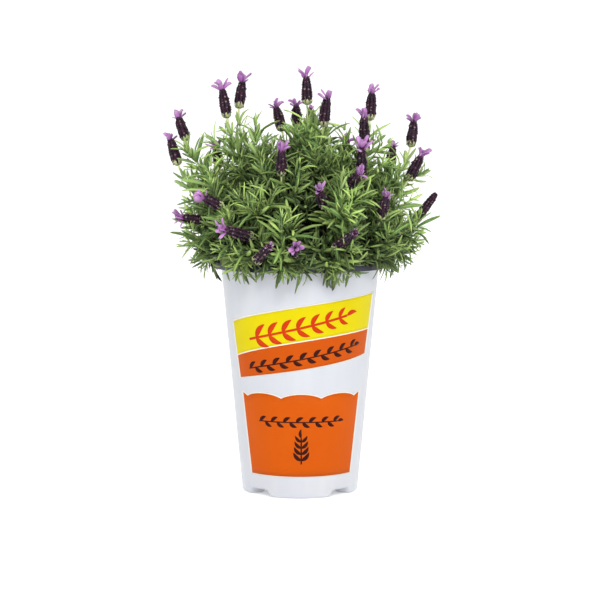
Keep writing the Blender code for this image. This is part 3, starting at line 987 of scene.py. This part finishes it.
def makeFlowerTree():
    tree, given, out = newTree("flowerStem", {
        "Spike Start": 0.8, "Spike Foot": 0.82, "Leafy Share": 0.5, "Rows": 9, "Tuft Size": 1.0,
        "Tuft Petals": 4, "Seed": 0, **flowerInputs,
    })
    value = given.outputs

    def seed(step):
        return calc(tree, "ADD", value["Seed"], step)

    def lengthOf(source, low, high, **spacing):
        return withAlong(tree, resampled(tree, trimmed(tree, source, low, high), **spacing))

    along = readValue(tree, "along")
    line = value["Geometry"]
    # the bare stalk, a little thicker just under the spike
    stalk = lengthOf(line, 0.0, value["Spike Start"], count=26)
    girth = floatCurve(tree, along, [(0.0, 0.95), (0.5, 0.72), (0.93, 0.74), (1.0, 1.0)])
    stalkMesh = addTube(tree, stalk, stalkGreen, times(tree, girth, value["Stem Radius"]), 8)
    # leaves on its lower part
    leafEnd = times(tree, value["Spike Start"], value["Leafy Share"])
    leafyPart = lengthOf(line, 0.1, leafEnd, length=value["Leaf Spacing"])
    leaves = addWhorls(
        tree, leafyPart, leafGreen, **leafPairs, Splay_Low=70.0, Splay_High=30.0, Splay_Spread=12.0,
        Roll_Spread=25.0, Size=0.95, Lift=0.1, Seed=value["Seed"],
    )
    small = addWhorls(
        tree, leafyPart, leafGreen, **smallLeaves, Turn=33.0, Splay_Low=50.0, Splay_High=20.0,
        Splay_Spread=15.0, Size=0.55, Lift=0.1, Keep=0.8, Seed=seed(70.0),
    )
    # the spike's core
    spikePart = lengthOf(line, value["Spike Start"], 1.0, count=14)
    barrel = floatCurve(tree, along, [(0.0, 0.6), (0.08, 0.94), (0.35, 1.0), (0.78, 0.84), (1.0, 0.42)])
    core = times(tree, barrel, value["Spike Radius"])
    coreMesh = addTube(tree, spikePart, spikePurple, times(tree, core, 0.92), 14)
    # overlapping scales in upright ranks
    rows = lengthOf(line, value["Spike Foot"], 0.985, count=value["Rows"])
    scales = addWhorls(
        tree, rows, spikePurple, Shapes=bractShapes, Per_Whorl=8, Turn=0.0, Splay_Low=20.0,
        Splay_High=8.0, Splay_Spread=5.0, Turn_Spread=3.0, Roll_Spread=8.0,
        Standoff=times(tree, core, 0.92), Size=mapRange(tree, along, 0.0, 1.0, 0.95, 0.76),
        Size_Spread=0.08, Seed=seed(11.0),
    )
    # small flowers stand between the ranks, a few of them open
    florets = addWhorls(
        tree, rows, floretDark, Shapes=floretShapes, Per_Whorl=8, Turn=0.0, Start_Angle=22.5,
        Splay_Low=72.0, Splay_High=52.0, Splay_Spread=12.0, Turn_Spread=4.0, Roll_Spread=40.0,
        Standoff=times(tree, core, 0.94), Size=0.9, Size_Spread=0.25, Keep=0.88, Seed=seed(23.0),
    )
    # the pale cup under the spike
    cup = addWhorls(
        tree, lengthOf(spikePart, 0.0, 0.05, count=2), calyxPale, Shapes=calyxShapes, Per_Whorl=8,
        Turn=22.5, Splay_Low=48.0, Splay_High=36.0, Splay_Spread=8.0, Turn_Spread=5.0, Roll_Spread=6.0,
        Standoff=times(tree, value["Spike Radius"], 0.28), Size_Spread=0.15, Seed=seed(37.0),
    )
    # the tuft on top
    tuft = addWhorls(
        tree, lengthOf(spikePart, 0.9, 0.97, count=2), tuftViolet, Shapes=petalShapes,
        Per_Whorl=value["Tuft Petals"], Turn=36.0, Splay_Low=21.0, Splay_High=5.0, Splay_Spread=13.0,
        Turn_Spread=16.0, Roll_Spread=18.0, Standoff=times(tree, value["Spike Radius"], 0.2),
        Size=value["Tuft Size"], Size_Spread=0.28, Seed=seed(41.0),
    )
    finishTree(tree, out, [stalkMesh, leaves, small, coreMesh, scales, florets, cup, tuft])
    return tree


flowerTree = makeFlowerTree()


def spikeMeasures(foot, way, points):
    # the way and length of the CAD spike beyond its foot, and how far its tuft reaches
    spots = uniqueSpots(points)
    reach = max((spot - foot).dot(way) for spot in spots)
    barrel = [spot for spot in spots if 0.02 * reach < (spot - foot).dot(way) < 0.55 * reach]
    way = (sum(barrel, Vector()) / len(barrel) - foot).normalized()
    # the barrel's last ring stands close to the axis, at 1.05 of its length; the tuft is wider
    heights = [(spot - foot).dot(way) for spot in spots]
    inner = [h for h, spot in zip(heights, spots) if (spot - foot - way * h).length < 3 * mm]
    spike = max(inner) / 1.05
    return way, spike, (max(heights) - 0.95 * spike) / 0.88 - 0.2 * spike


def stalkSides(rng, path):
    # leafy side shoots from the lower and middle part of a stalk
    lines = []
    for index in range(flowerValues["sideShoots"]):
        place = int(8 + 13 * (index + rng.random()) / flowerValues["sideShoots"])
        along, side = squareWay(rng, path, place)
        length = rng.uniform(*flowerValues["sideLength"]) * (1.2 - 0.022 * place)
        lines.append(sideShoot(path[place], along * 0.9 + side * 0.6, length, rng.uniform(0.1, 0.9)))
    return lines


def growFlower(number):
    values = flowerValues
    node = f"flower_stem_{number:02d}"
    rings, points = stemPath(node, 6)
    foot = rings[-1]
    way, spike, tuft = spikeMeasures(foot, (rings[-1] - rings[-2]).normalized(), points)
    path = smoothPath(rings, values["pathPoints"])
    stalk = sum((b - a).length for a, b in zip(path, path[1:]))
    whole = path + [foot + way * spike * step / 6 for step in range(1, 7)]
    curve = newCurve(node + "Path", [(whole, [1] * len(whole))])
    # short spikes are slimmer, and one that is still a bud is slimmer again
    bud = tuft < values["budTuft"]
    slim = (0.62 + 0.38 * min(1, spike / (20 * mm))) * (0.78 if bud else 1)
    piece = runTree(curve, flowerTree, {
        "Seed": number * 17,
        "Spike Start": stalk / (stalk + spike),
        "Spike Foot": (stalk + values["footGap"]) / (stalk + spike),
        "Leafy Share": max(0.3, 1 - values["bareStalk"] / stalk),
        "Rows": max(6, round(spike / values["rowHeight"])),
        "Tuft Size": (tuft + 0.1 * spike) / values["tuftLength"],
        "Tuft Petals": 3 if bud else 4,
        "Spike Radius": values["Spike Radius"] * slim,
    }, f"flowerStem{number:02d}")
    sides = newCurve(node + "Sides", stalkSides(random.Random(bushValues["seed"] * 500 + number), path))
    piece = joinPieces(piece, runTree(sides, shootTree, {"Seed": number * 13}, "sides"))
    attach(piece, "root")
    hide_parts(node)
    return piece


foliage += growAll("flower_stem", growFlower)


# the pot

potValues = {
    "height": potHigh.z,
    "rimRadius": potHigh.x,
    "topRadius": potHigh.x - 6.5 * mm,
    "footRadius": 48 * mm,
    "rimDrop": 5.3 * mm,
    "wall": 1.0 * mm,
    # the radii under the rim, on its outer edge and on its inner edge
    "bend": 1.6 * mm,
    "lip": 1.1 * mm,
    "bead": 1.2 * mm,
    # each of the four notches: its rise, half its width and the width of its slope in degrees
    "notchRise": 5.5 * mm,
    "notchReach": 15.6,
    "notchSlope": 6.2,
    "notchSplay": 0.094,
    # the underside from the middle out and the floor from the wall in: radius and height in mm, and
    # how much of the notches' rise each place takes
    "underside": ((3, 4.5, 0), (28, 4.5, 0), (31, 4.2, 0.2), (33, 2.6, 0.6), (34.4, 0.6, 1), (36, 0, 1),
                  (40, 0, 1)),
    "floor": ((45, 1.4, 1), (38, 1.0, 1), (35, 1.0, 1), (32, 5.5, 0), (3, 5.5, 0)),
    "sides": 180,
}


def wallRadius(height):
    taper = (potValues["topRadius"] - potValues["footRadius"]) / potValues["height"]
    return potValues["footRadius"] + taper * height


def fillet(x, z, radius, start, end, steps, foot=0):
    # (radius, height, foot share) on a small fillet round (x, z), angles in degrees
    angles = [math.radians(start + (end - start) * step / steps) for step in range(steps + 1)]
    return [(x + radius * math.cos(angle), z + radius * math.sin(angle), foot) for angle in angles]


def notchLift(angle):
    # how far the foot is raised there, smooth at both ends of the slope
    offCentre = abs((math.degrees(angle) % 90) - 45)
    share = min(1, max(0, (potValues["notchReach"] - offCentre) / potValues["notchSlope"]))
    return potValues["notchRise"] * share * share * (3 - 2 * share)


def turnedShell(name, profile, sides, groups):
    # groups gives each run of the profile its material slot
    bm = bmesh.new()
    rings = []
    for radius, height, foot in profile:
        def place(angle):
            lift = notchLift(angle) * foot
            return turned(radius + lift * potValues["notchSplay"], angle, height + lift)
        rings.append(ringOf(bm, sides, place))
    for low, high, group in zip(rings, rings[1:], groups):
        bridge(bm, low, high, True, group)
    for ring, group in ((rings[0], groups[0]), (rings[-1], groups[-1])):
        middle = sum((vert.co for vert in ring), Vector()) / sides
        cap(bm, ring, bm.verts.new((0, 0, middle.z)), True, group)
    return makeMesh(bm, name)


def makePot():
    v = potValues
    height, rim, wall, drop = v["height"], v["rimRadius"], v["wall"], v["rimDrop"]
    flange = height - wall
    outside = [(x * mm, z * mm, foot) for x, z, foot in v["underside"]]
    outside += fillet(45.6 * mm, 2.7 * mm, 2.7 * mm, -90, -5, 5, foot=1)
    for step in range(1, 15):
        place = 6 * mm + (flange - 8 * mm) * step / 14
        outside.append((wallRadius(place), place, max(0, 1 - step / 2) * 0.6))
    white = len(outside)
    top = wallRadius(flange)
    bend, lip, bead = v["bend"], v["lip"], v["bead"]
    outside += fillet(top + bend, flange - bend, bend, 180, 90, 4)
    outside += [(rim - wall - 0.6 * mm, flange, 0), (rim - wall, flange - 0.6 * mm, 0)]
    outside += [(rim - wall, height - drop + 0.3 * mm, 0), (rim - wall + 0.25 * mm, height - drop, 0)]
    outside += [(rim - 0.25 * mm, height - drop, 0), (rim, height - drop + 0.3 * mm, 0)]
    outside += fillet(rim - lip, height - lip, lip, 0, 90, 5)
    inner = wallRadius(height) - wall
    outside += fillet(inner + bead, height - bead, bead, 90, 180, 4)
    outside += [(wallRadius(z) - wall, z, 0) for z in (150 * mm, 100 * mm, 50 * mm, 12 * mm)]
    outside += [(x * mm, z * mm, foot) for x, z, foot in v["floor"]]
    groups = [0] * (white + 2) + [1] * (len(outside) - white - 2)
    pot = newPiece("nurseryPot", turnedShell("nurseryPot", outside, v["sides"], groups))
    pot.data.materials.append(potWhite)
    pot.data.materials.append(potNavy)
    return pot


pot = makePot()
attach(pot, "root")
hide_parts("nursery_pot")
print("pot made:", len(pot.data.polygons), "faces")


# printed panels, thin films that lie on the wall; lengths are in mm unless they say otherwise
panelValues = {
    # heights at the left and right ends, and how much the middle stands above the line between them
    "bandTop": (144.0, 167.0, 3.5),
    "bandFoot": (117.0, 138.3, 3.7),
    "underFoot": (98.0, 117.5, 0.0),
    "panelFoot": (18.8, 18.8, -0.2),
    "edge": 0.95,
    # how far the upright ends stand from the middle at a height, and their slope
    "bandEnds": (-53.3, 55.2, 0.128, 135.0),
    "panelEnds": (-45.4, 46.9, 0.108, 75.0),
    "bumpTop": 87.0,
    "bumpFoot": 83.3,
    "bumpWidth": 30.4,
    # how far apart the layers of ink lie, how far the motifs stand off the wall, and each film's depth
    "filmStep": 0.06 * mm,
    "motifGap": 0.19 * mm,
    "filmThickness": 0.05 * mm,
}

frontAngle = -math.pi / 2


def makeFilm(name, outline, material, level):
    # outline gives the lower and upper height across the film, and where its ends are at a height
    columns, rows = 120, 12
    radiusGap = level * panelValues["filmStep"]
    bm = bmesh.new()
    grid = []
    for column in range(columns + 1):
        u = column / columns
        side = 0.0
        # the heights depend on the place round the wall and the other way round, so settle both
        for _ in range(4):
            low, high = outline["low"](u, side), outline["high"](u, side)
            middle = (low + high) / 2
            side = outline["left"](middle) * (1 - u) + outline["right"](middle) * u
        line = []
        for row in range(rows + 1):
            place = low + (high - low) * row / rows
            around = outline["left"](place) * (1 - u) + outline["right"](place) * u
            radius = wallRadius(place) + radiusGap
            angle = frontAngle + around / radius
            line.append(bm.verts.new(turned(radius, angle, place)))
        grid.append(line)
    for left, right in zip(grid, grid[1:]):
        for row in range(rows):
            bm.faces.new((left[row], right[row], right[row + 1], left[row + 1])).smooth = True
    return finishFilm(name, makeMesh(bm, name, False), material)


def finishFilm(name, mesh, material):
    film = newPiece(name, mesh)
    film.data.materials.append(material)
    thick = film.modifiers.new("thickness", "SOLIDIFY")
    thick.thickness = panelValues["filmThickness"]
    thick.offset = 1
    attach(film, "root")
    return film


def arcOf(x, height):
    # distance round the wall for a place seen at x from the front
    radius = wallRadius(height)
    return radius * math.asin(max(-0.99, min(0.99, x / radius)))


def slant(ends, above=0.0):
    left, right, rise = ends
    return lambda u, side: (left + (right - left) * u + rise * 4 * u * (1 - u) + above) * mm


def endLine(ends, index, wider=0.0):
    # distance round the wall of a panel's end at a height
    slope, level = ends[2:]
    sign = -1 if index == 0 else 1
    return lambda place: arcOf((ends[index] + sign * (slope * (place / mm - level) + wider)) * mm, place)


def scalloped(above=0.0):
    # three shallow bumps, with the start of one more at each end
    v = panelValues

    def height(u, side):
        share = (side / mm - 1) / v["bumpWidth"] + 0.5
        bump = 1 - (2 * (share % 1) - 1) ** 2
        return (v["bumpFoot"] + (v["bumpTop"] - v["bumpFoot"]) * bump**0.8 + above) * mm
    return height


def makePanels(v):
    # a pale edge round each group of colour, and the flat colours on top of it
    edge = v["edge"]
    band, under, low = v["bandFoot"], v["underFoot"], v["panelFoot"]
    for name, material, level, foot, top, ends, wider in (
        ("printBandEdge", printWhite, 1, slant(under, -edge), slant(v["bandTop"], edge), "bandEnds", edge),
        ("printBand", printYellow, 2, slant(band), slant(v["bandTop"]), "bandEnds", 0),
        ("printUnderBand", printAmber, 2, slant(under), slant(band, -edge), "bandEnds", 0),
        ("printPanelEdge", printWhite, 1, slant(low, -edge), scalloped(edge), "panelEnds", edge),
        ("printPanel", printOrange, 2, slant(low), scalloped(), "panelEnds", 0),
    ):
        left, right = (endLine(v[ends], index, wider) for index in range(2))
        makeFilm(name, {"low": foot, "high": top, "left": left, "right": right}, material, level)


makePanels(panelValues)


def printStrokes(name, strokes, material):
    # flat printed strokes: each is (line, width), both functions of a share, in mm round and up the wall
    bm = bmesh.new()
    for line, width in strokes:
        steps = 24
        rows = []
        for step in range(steps + 1):
            share = step / steps
            here = Vector(line(share))
            ahead = Vector(line(min(1, share + 0.01))) - Vector(line(max(0, share - 0.01)))
            aside = Vector((-ahead.y, ahead.x)).normalized() * max(width(share), 0.02) / 2
            row = []
            for spot in (here - aside, here, here + aside):
                radius = wallRadius(spot.y * mm) + panelValues["motifGap"]
                angle = frontAngle + spot.x * mm / radius
                row.append(bm.verts.new(turned(radius, angle, spot.y * mm)))
            rows.append(row)
        for low, high in zip(rows, rows[1:]):
            for side in range(2):
                bm.faces.new((low[side + 1], low[side], high[side], high[side + 1])).smooth = True
    for face in bm.faces:
        face.normal_update()
        if face.normal.dot(face.calc_center_median() * Vector((1, 1, 0))) < 0:
            face.normal_flip()
    return finishFilm(name, makeMesh(bm, name, False), material)


def leafStroke(root, way, length, girth, side=1):
    # a pointed leaf that leaves its root at an angle, in degrees, and bows away from its stem
    turn = math.radians(way)
    reach = Vector((math.cos(turn), math.sin(turn))) * length
    bend = Vector((-reach.y, reach.x)) * 0.12 * side

    def line(share):
        return Vector(root) + reach * share + bend * math.sin(math.pi * share)
    return line, lambda share: girth * math.sin(math.pi * share**0.8) ** 0.8


def alongStem(start, end, stem, leaf, tip, roots):
    # a straight stem, a leaf at its end, and leaves at the roots: (share of the stem, angle, size, girth)
    start, end = Vector(start), Vector(end)
    heading = math.degrees(math.atan2(end.y - start.y, end.x - start.x))
    strokes = [(lambda share: start.lerp(end, share), lambda share: stem)]
    for share, angle, size, girth in roots:
        side = 1 if angle > 0 else -1
        strokes.append(leafStroke(start.lerp(end, share), heading + angle, size, size * girth, side))
    strokes.append(leafStroke(end, heading, leaf * 0.8, leaf * tip))
    return strokes


def sprigStrokes(start, end, pairs, leaf, stem):
    # pairs of leaves that grow smaller towards the tip
    roots = [((pair + 0.6) / (pairs + 0.25), side * 42, leaf * (1 - 0.3 * pair / pairs), 0.34)
             for pair in range(pairs) for side in (-1, 1)]
    return alongStem(start, end, stem, leaf, 0.26, roots)


def garlandStrokes(start, end, count, leaf):
    # a slim stem with plump leaves, one above and one below it in turn
    roots = [((index + 0.2) / count, 34 if index % 2 == 0 else -34, leaf, 0.42) for index in range(count)]
    return alongStem(start, end, leaf * 0.13, leaf, 0.36, roots)


# where each motif starts and ends on the wall, in mm, its count of leaves and their length
motifValues = {
    "sprig": {"start": (-45, 131.2), "end": (41, 150.9), "pairs": 7, "leaf": 14, "stem": 2.0},
    "garland": {"start": (-46, 106.8), "end": (50, 125.6), "count": 17, "leaf": 8.2},
    "posy": {"start": (1, 29), "end": (1, 51), "pairs": 4, "leaf": 9.5, "stem": 1.2},
    "posyGarland": {"start": (-36, 64), "end": (33, 64), "count": 13, "leaf": 7.2},
}
posy = sprigStrokes(**motifValues["posy"]) + garlandStrokes(**motifValues["posyGarland"])
printStrokes("printSprig", sprigStrokes(**motifValues["sprig"]), printRed)
printStrokes("printGarland", garlandStrokes(**motifValues["garland"]), printBrown)
printStrokes("printPosy", posy, printBrown)
print("printed panels made")


# leaves at the pot's wall

def clearWall(piece, largest):
    # small loose parts, such as a leaf, that cut through the pot's wall are taken away whole
    bm = bmesh.new()
    bm.from_mesh(piece.data)

    def within(vert):
        return math.hypot(vert.co.x, vert.co.y) < wallRadius(vert.co.z)
    low = [vert for vert in bm.verts if 20 * mm < vert.co.z < potHigh.z - 0.5 * mm]
    cut = [vert for vert in low
           if any(within(edge.other_vert(vert)) != within(vert) for edge in vert.link_edges)]
    doomed = set()
    for vert in cut:
        found, front = {vert}, [vert]
        while front and len(found) <= largest:
            reached = {edge.other_vert(here) for here in front for edge in here.link_edges} - found
            found |= reached
            front = list(reached)
        if len(found) <= largest:
            doomed |= found
    bmesh.ops.delete(bm, geom=list(doomed), context="VERTS")
    bm.to_mesh(piece.data)
    bm.free()
    return len(doomed)


leafPoints = 60
cleared = sum(clearWall(piece, leafPoints) for piece in foliage)
print("points of leaves cleared from the wall:", cleared)


# potting mix

# chips and grains for each square metre, and only above a height
mixValues = {"chips": 36000, "perlite": 10000, "seed": 5, "lowest": 172 * mm, "largestLoose": 60}


def makeMix():
    low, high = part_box("potting_mix")
    surface = high.z - 2.5 * mm
    side = wallRadius(surface) - 1.3 * mm
    bm = bmesh.new()
    steps, sides = 30, 96

    def ground(angle):
        # a low mound with a rough top
        spot = turned(radius, angle, 3.1)
        mound = 2.0 * mm * max(0, 1 - (radius / (34 * mm)) ** 2)
        rough = noise.fractal(spot * 130, 1.0, 2.1, 4) * 1.5 * mm
        return spot.x, spot.y, surface + mound + rough - 0.9 * mm

    rings = []
    for step in range(steps):
        radius = side * (1 - step / steps)
        rings.append(ringOf(bm, sides, ground))
    radius = 0.0
    middle = ringOf(bm, 1, ground)[0]
    for outer, inner in zip(rings, rings[1:]):
        bridge(bm, outer, inner)
    cap(bm, rings[-1], middle, True)
    # the sides, down inside the pot to its floor
    under = []
    for radius, place, foot in ((46 * mm, 6 * mm, 0), (44 * mm, 1.8 * mm, 1), (34.8 * mm, 1.5 * mm, 1),
                                (31.6 * mm, 5.9 * mm, 0)):
        under.append(ringOf(
            bm, sides, lambda angle: turned(radius, angle, place + notchLift(angle) * foot)))
    for upper, lower in zip([rings[0]] + under, under):
        bridge(bm, lower, upper)
    cap(bm, under[-1], bm.verts.new((0, 0, 5.9 * mm)))
    mesh = makeMesh(bm, "pottingMix")
    mesh.materials.append(peatBrown)
    return newPiece("pottingMix", mesh)


def makeChip(name, size, seed):
    # a splinter or a grain: a coarse ball, stretched and pushed out of round
    bm = bmesh.new()
    bmesh.ops.create_icosphere(bm, subdivisions=1, radius=0.5)
    rng = random.Random(seed)
    for vert in bm.verts:
        push = 1 + rng.uniform(-0.22, 0.22)
        vert.co = vert.co * Vector(size) * push
    return bpy.data.objects.new(name, makeMesh(bm, name, False))


chipShapes = gather("chipShapes", [
    makeChip("chipA", (5 * mm, 2.2 * mm, 1.3 * mm), 1),
    makeChip("chipB", (3.4 * mm, 1.5 * mm, 1.4 * mm), 2),
    makeChip("chipC", (7 * mm, 1.3 * mm, 1.0 * mm), 3),
])
grainShapes = gather("grainShapes", [
    makeChip("grainA", (2.6 * mm, 2.2 * mm, 2.0 * mm), 4),
    makeChip("grainB", (1.8 * mm, 1.6 * mm, 1.5 * mm), 5),
])


def makeScatterTree():
    tree, given, out = newTree("soilScatter", {
        "Chips": "Collection", "Material": "Material", "Density": 10000.0, "Lowest": 0.17, "Seed": 0,
    })
    value = given.outputs
    above = isAbove(tree, heightOf(tree, placeOf(tree)), value["Lowest"])
    sources = {"Geometry": value["Geometry"], "Selection": above}
    top = addNode(tree, "GeometryNodeSeparateGeometry", sources, domain="FACE").outputs[0]
    points = addNode(
        tree, "GeometryNodeDistributePointsOnFaces",
        {"Mesh": top, "Density": value["Density"], "Seed": value["Seed"]},
    )
    spin = addNode(
        tree, "FunctionNodeRandomValue",
        {0: (-0.35, -0.35, 0), 1: (0.35, 0.35, 6.28), "Seed": value["Seed"]}, data_type="FLOAT_VECTOR",
    )
    real = placeShapes(
        tree, points.outputs["Points"], value["Chips"], 9, 0, 9, Rotation=spin.outputs[0],
        Scale=randomValue(tree, 0.6, 1.25, 3),
    )
    tree.links.new(painted(tree, real, value["Material"]), out.inputs[0])
    return tree


scatterTree = makeScatterTree()
mix = makeMix()
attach(mix, "root")
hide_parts("potting_mix")
for label, shapes, material, density in (
    ("barkChips", chipShapes, barkChip, mixValues["chips"]),
    ("perlite", grainShapes, perliteWhite, mixValues["perlite"]),
):
    ground = newPiece(label + "Ground", mix.data.copy())
    inputs = {"Chips": shapes, "Material": material, "Density": density, "Lowest": mixValues["lowest"],
              "Seed": mixValues["seed"]}
    piece = runTree(ground, scatterTree, inputs, label)
    clearWall(piece, mixValues["largestLoose"])
    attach(piece, "root")
print("potting mix made")


# woody crown

crownValues = {"seed": 21, "arms": 9, "armHeight": 19 * mm, "armReach": 11 * mm, "Bark Depth": 0.8 * mm}


def makeCrown():
    # a short trunk that forks at once into gnarled arms, skinned and roughened
    v = crownValues
    rng = random.Random(v["seed"])
    lines = []
    for index in range(v["arms"]):
        angle = 2 * math.pi * index / v["arms"] + rng.uniform(-0.2, 0.2)
        out = turned(1, angle, 0)
        lean = rng.uniform(0.35, 1.1)
        foot = out * 2.4 * mm + up * (crownLow.z - 2.5 * mm)
        points = []
        for step in range(7):
            share = step / 6
            rise = up * v["armHeight"] * share * (1.15 - 0.35 * lean)
            spot = foot + rise + out * v["armReach"] * lean * share**1.6
            points.append(spot + noise.noise_vector(spot * 160) * 1.2 * mm)
        lines.append((points, [3.4 - 1.9 * step / 6 for step in range(7)]))
    tree, given, out = newTree("woodyCrown", {"Bark Depth": v["Bark Depth"]})
    thick = addNode(tree, "GeometryNodeInputRadius").outputs[0]
    fine = withAlong(tree, resampled(tree, given.outputs["Geometry"], count=24))
    tube = addTube(tree, fine, crownBark, times(tree, thick, 1 * mm), 14)
    grain = addNode(
        tree, "ShaderNodeTexNoise", {"Vector": placeOf(tree), "Scale": 420.0, "Detail": 3.0}
    ).outputs["Fac"]
    push = times(tree, calc(tree, "SUBTRACT", grain, 0.5), given.outputs["Bark Depth"])
    push = times(tree, push, 2.0)
    normal = addNode(tree, "GeometryNodeInputNormal").outputs[0]
    offset = vecCalc(tree, "SCALE", normal, push)
    rough = addNode(tree, "GeometryNodeSetPosition", {"Geometry": tube, "Offset": offset}).outputs[0]
    tree.links.new(rough, out.inputs[0])
    return runTree(newCurve("crownPath", lines), tree, {}, "woodyCrown")


crown = makeCrown()
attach(crown, "root")
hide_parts("woody_crown")
print("crown made")


# stage, lights and camera; lengths are in metres
stageValues = {"flat": 3.2, "bend": 1.6, "wall": 4.5, "sides": 96, "paper": 0.93, "glow": 0.27}


def makeStage():
    # a pale floor that rises all round in one smooth curve
    v = stageValues
    profile = [(v["flat"], 0.0)]
    for step in range(1, 13):
        angle = math.radians(90 * step / 12)
        profile.append((v["flat"] + v["bend"] * math.sin(angle), v["bend"] * (1 - math.cos(angle))))
    profile.append((v["flat"] + v["bend"], v["wall"]))
    bm = bmesh.new()
    rings = []
    for radius, height in profile:
        rings.append(ringOf(bm, v["sides"], lambda angle: turned(radius, angle, height)))
    bm.faces.new(rings[0])
    for low, high in zip(rings, rings[1:]):
        bridge(bm, low, high)
    mesh = makeMesh(bm, "studioFloor")
    mesh.materials.append(newMaterial(
        "studioPaper", Roughness=0.9, Specular_IOR_Level=0.1, Base_Color=(v["paper"],) * 3 + (1,),
        Emission_Color=(1, 1, 1, 1), Emission_Strength=v["glow"],
    )[0])
    return newPiece("studioFloor", mesh)


stageFloor = makeStage()

lightValues = {
    "key": {"place": (0.1, -2.7, 2.1), "size": 1.3, "power": 55},
    "fill": {"place": (1.8, -2.2, 1.2), "size": 2.0, "power": 4.8},
    "back": {"place": (0.5, 2.6, 2.6), "size": 2.0, "power": 29},
    "world": 0.3,
}


def addLight(name, place, size, power):
    data = bpy.data.lights.new(name, "AREA")
    data.shape = "DISK"
    data.size = size
    data.energy = power
    light = newPiece(name, data)
    light.location = place
    aim = Vector((0, 0, 0.18)) - Vector(place)
    light.rotation_euler = aim.to_track_quat("-Z", "Y").to_euler()
    return light


for name in ("key", "fill", "back"):
    addLight(name + "Light", **lightValues[name])

world = bpy.data.worlds.new("studioWorld")
bpy.context.scene.world = world
world.use_nodes = True
sky = world.node_tree.nodes["Background"]
sky.inputs["Color"].default_value = (1, 1, 1, 1)
sky.inputs["Strength"].default_value = lightValues["world"]

cameraValues = {"distance": 1.645, "height": 0.313, "lens": 118.9, "pitch": 5.355}
cameraData = bpy.data.cameras.new("camera")
cameraData.lens = cameraValues["lens"]
cameraData.sensor_width = 36
cameraData.clip_end = 50
camera = newPiece("camera", cameraData)
camera.location = (0, -cameraValues["distance"], cameraValues["height"])
camera.rotation_euler = (math.radians(90 - cameraValues["pitch"]), 0, 0)
bpy.context.scene.camera = camera
bpy.context.scene.view_settings.view_transform = "Standard"
print("stage, lights and camera ready")
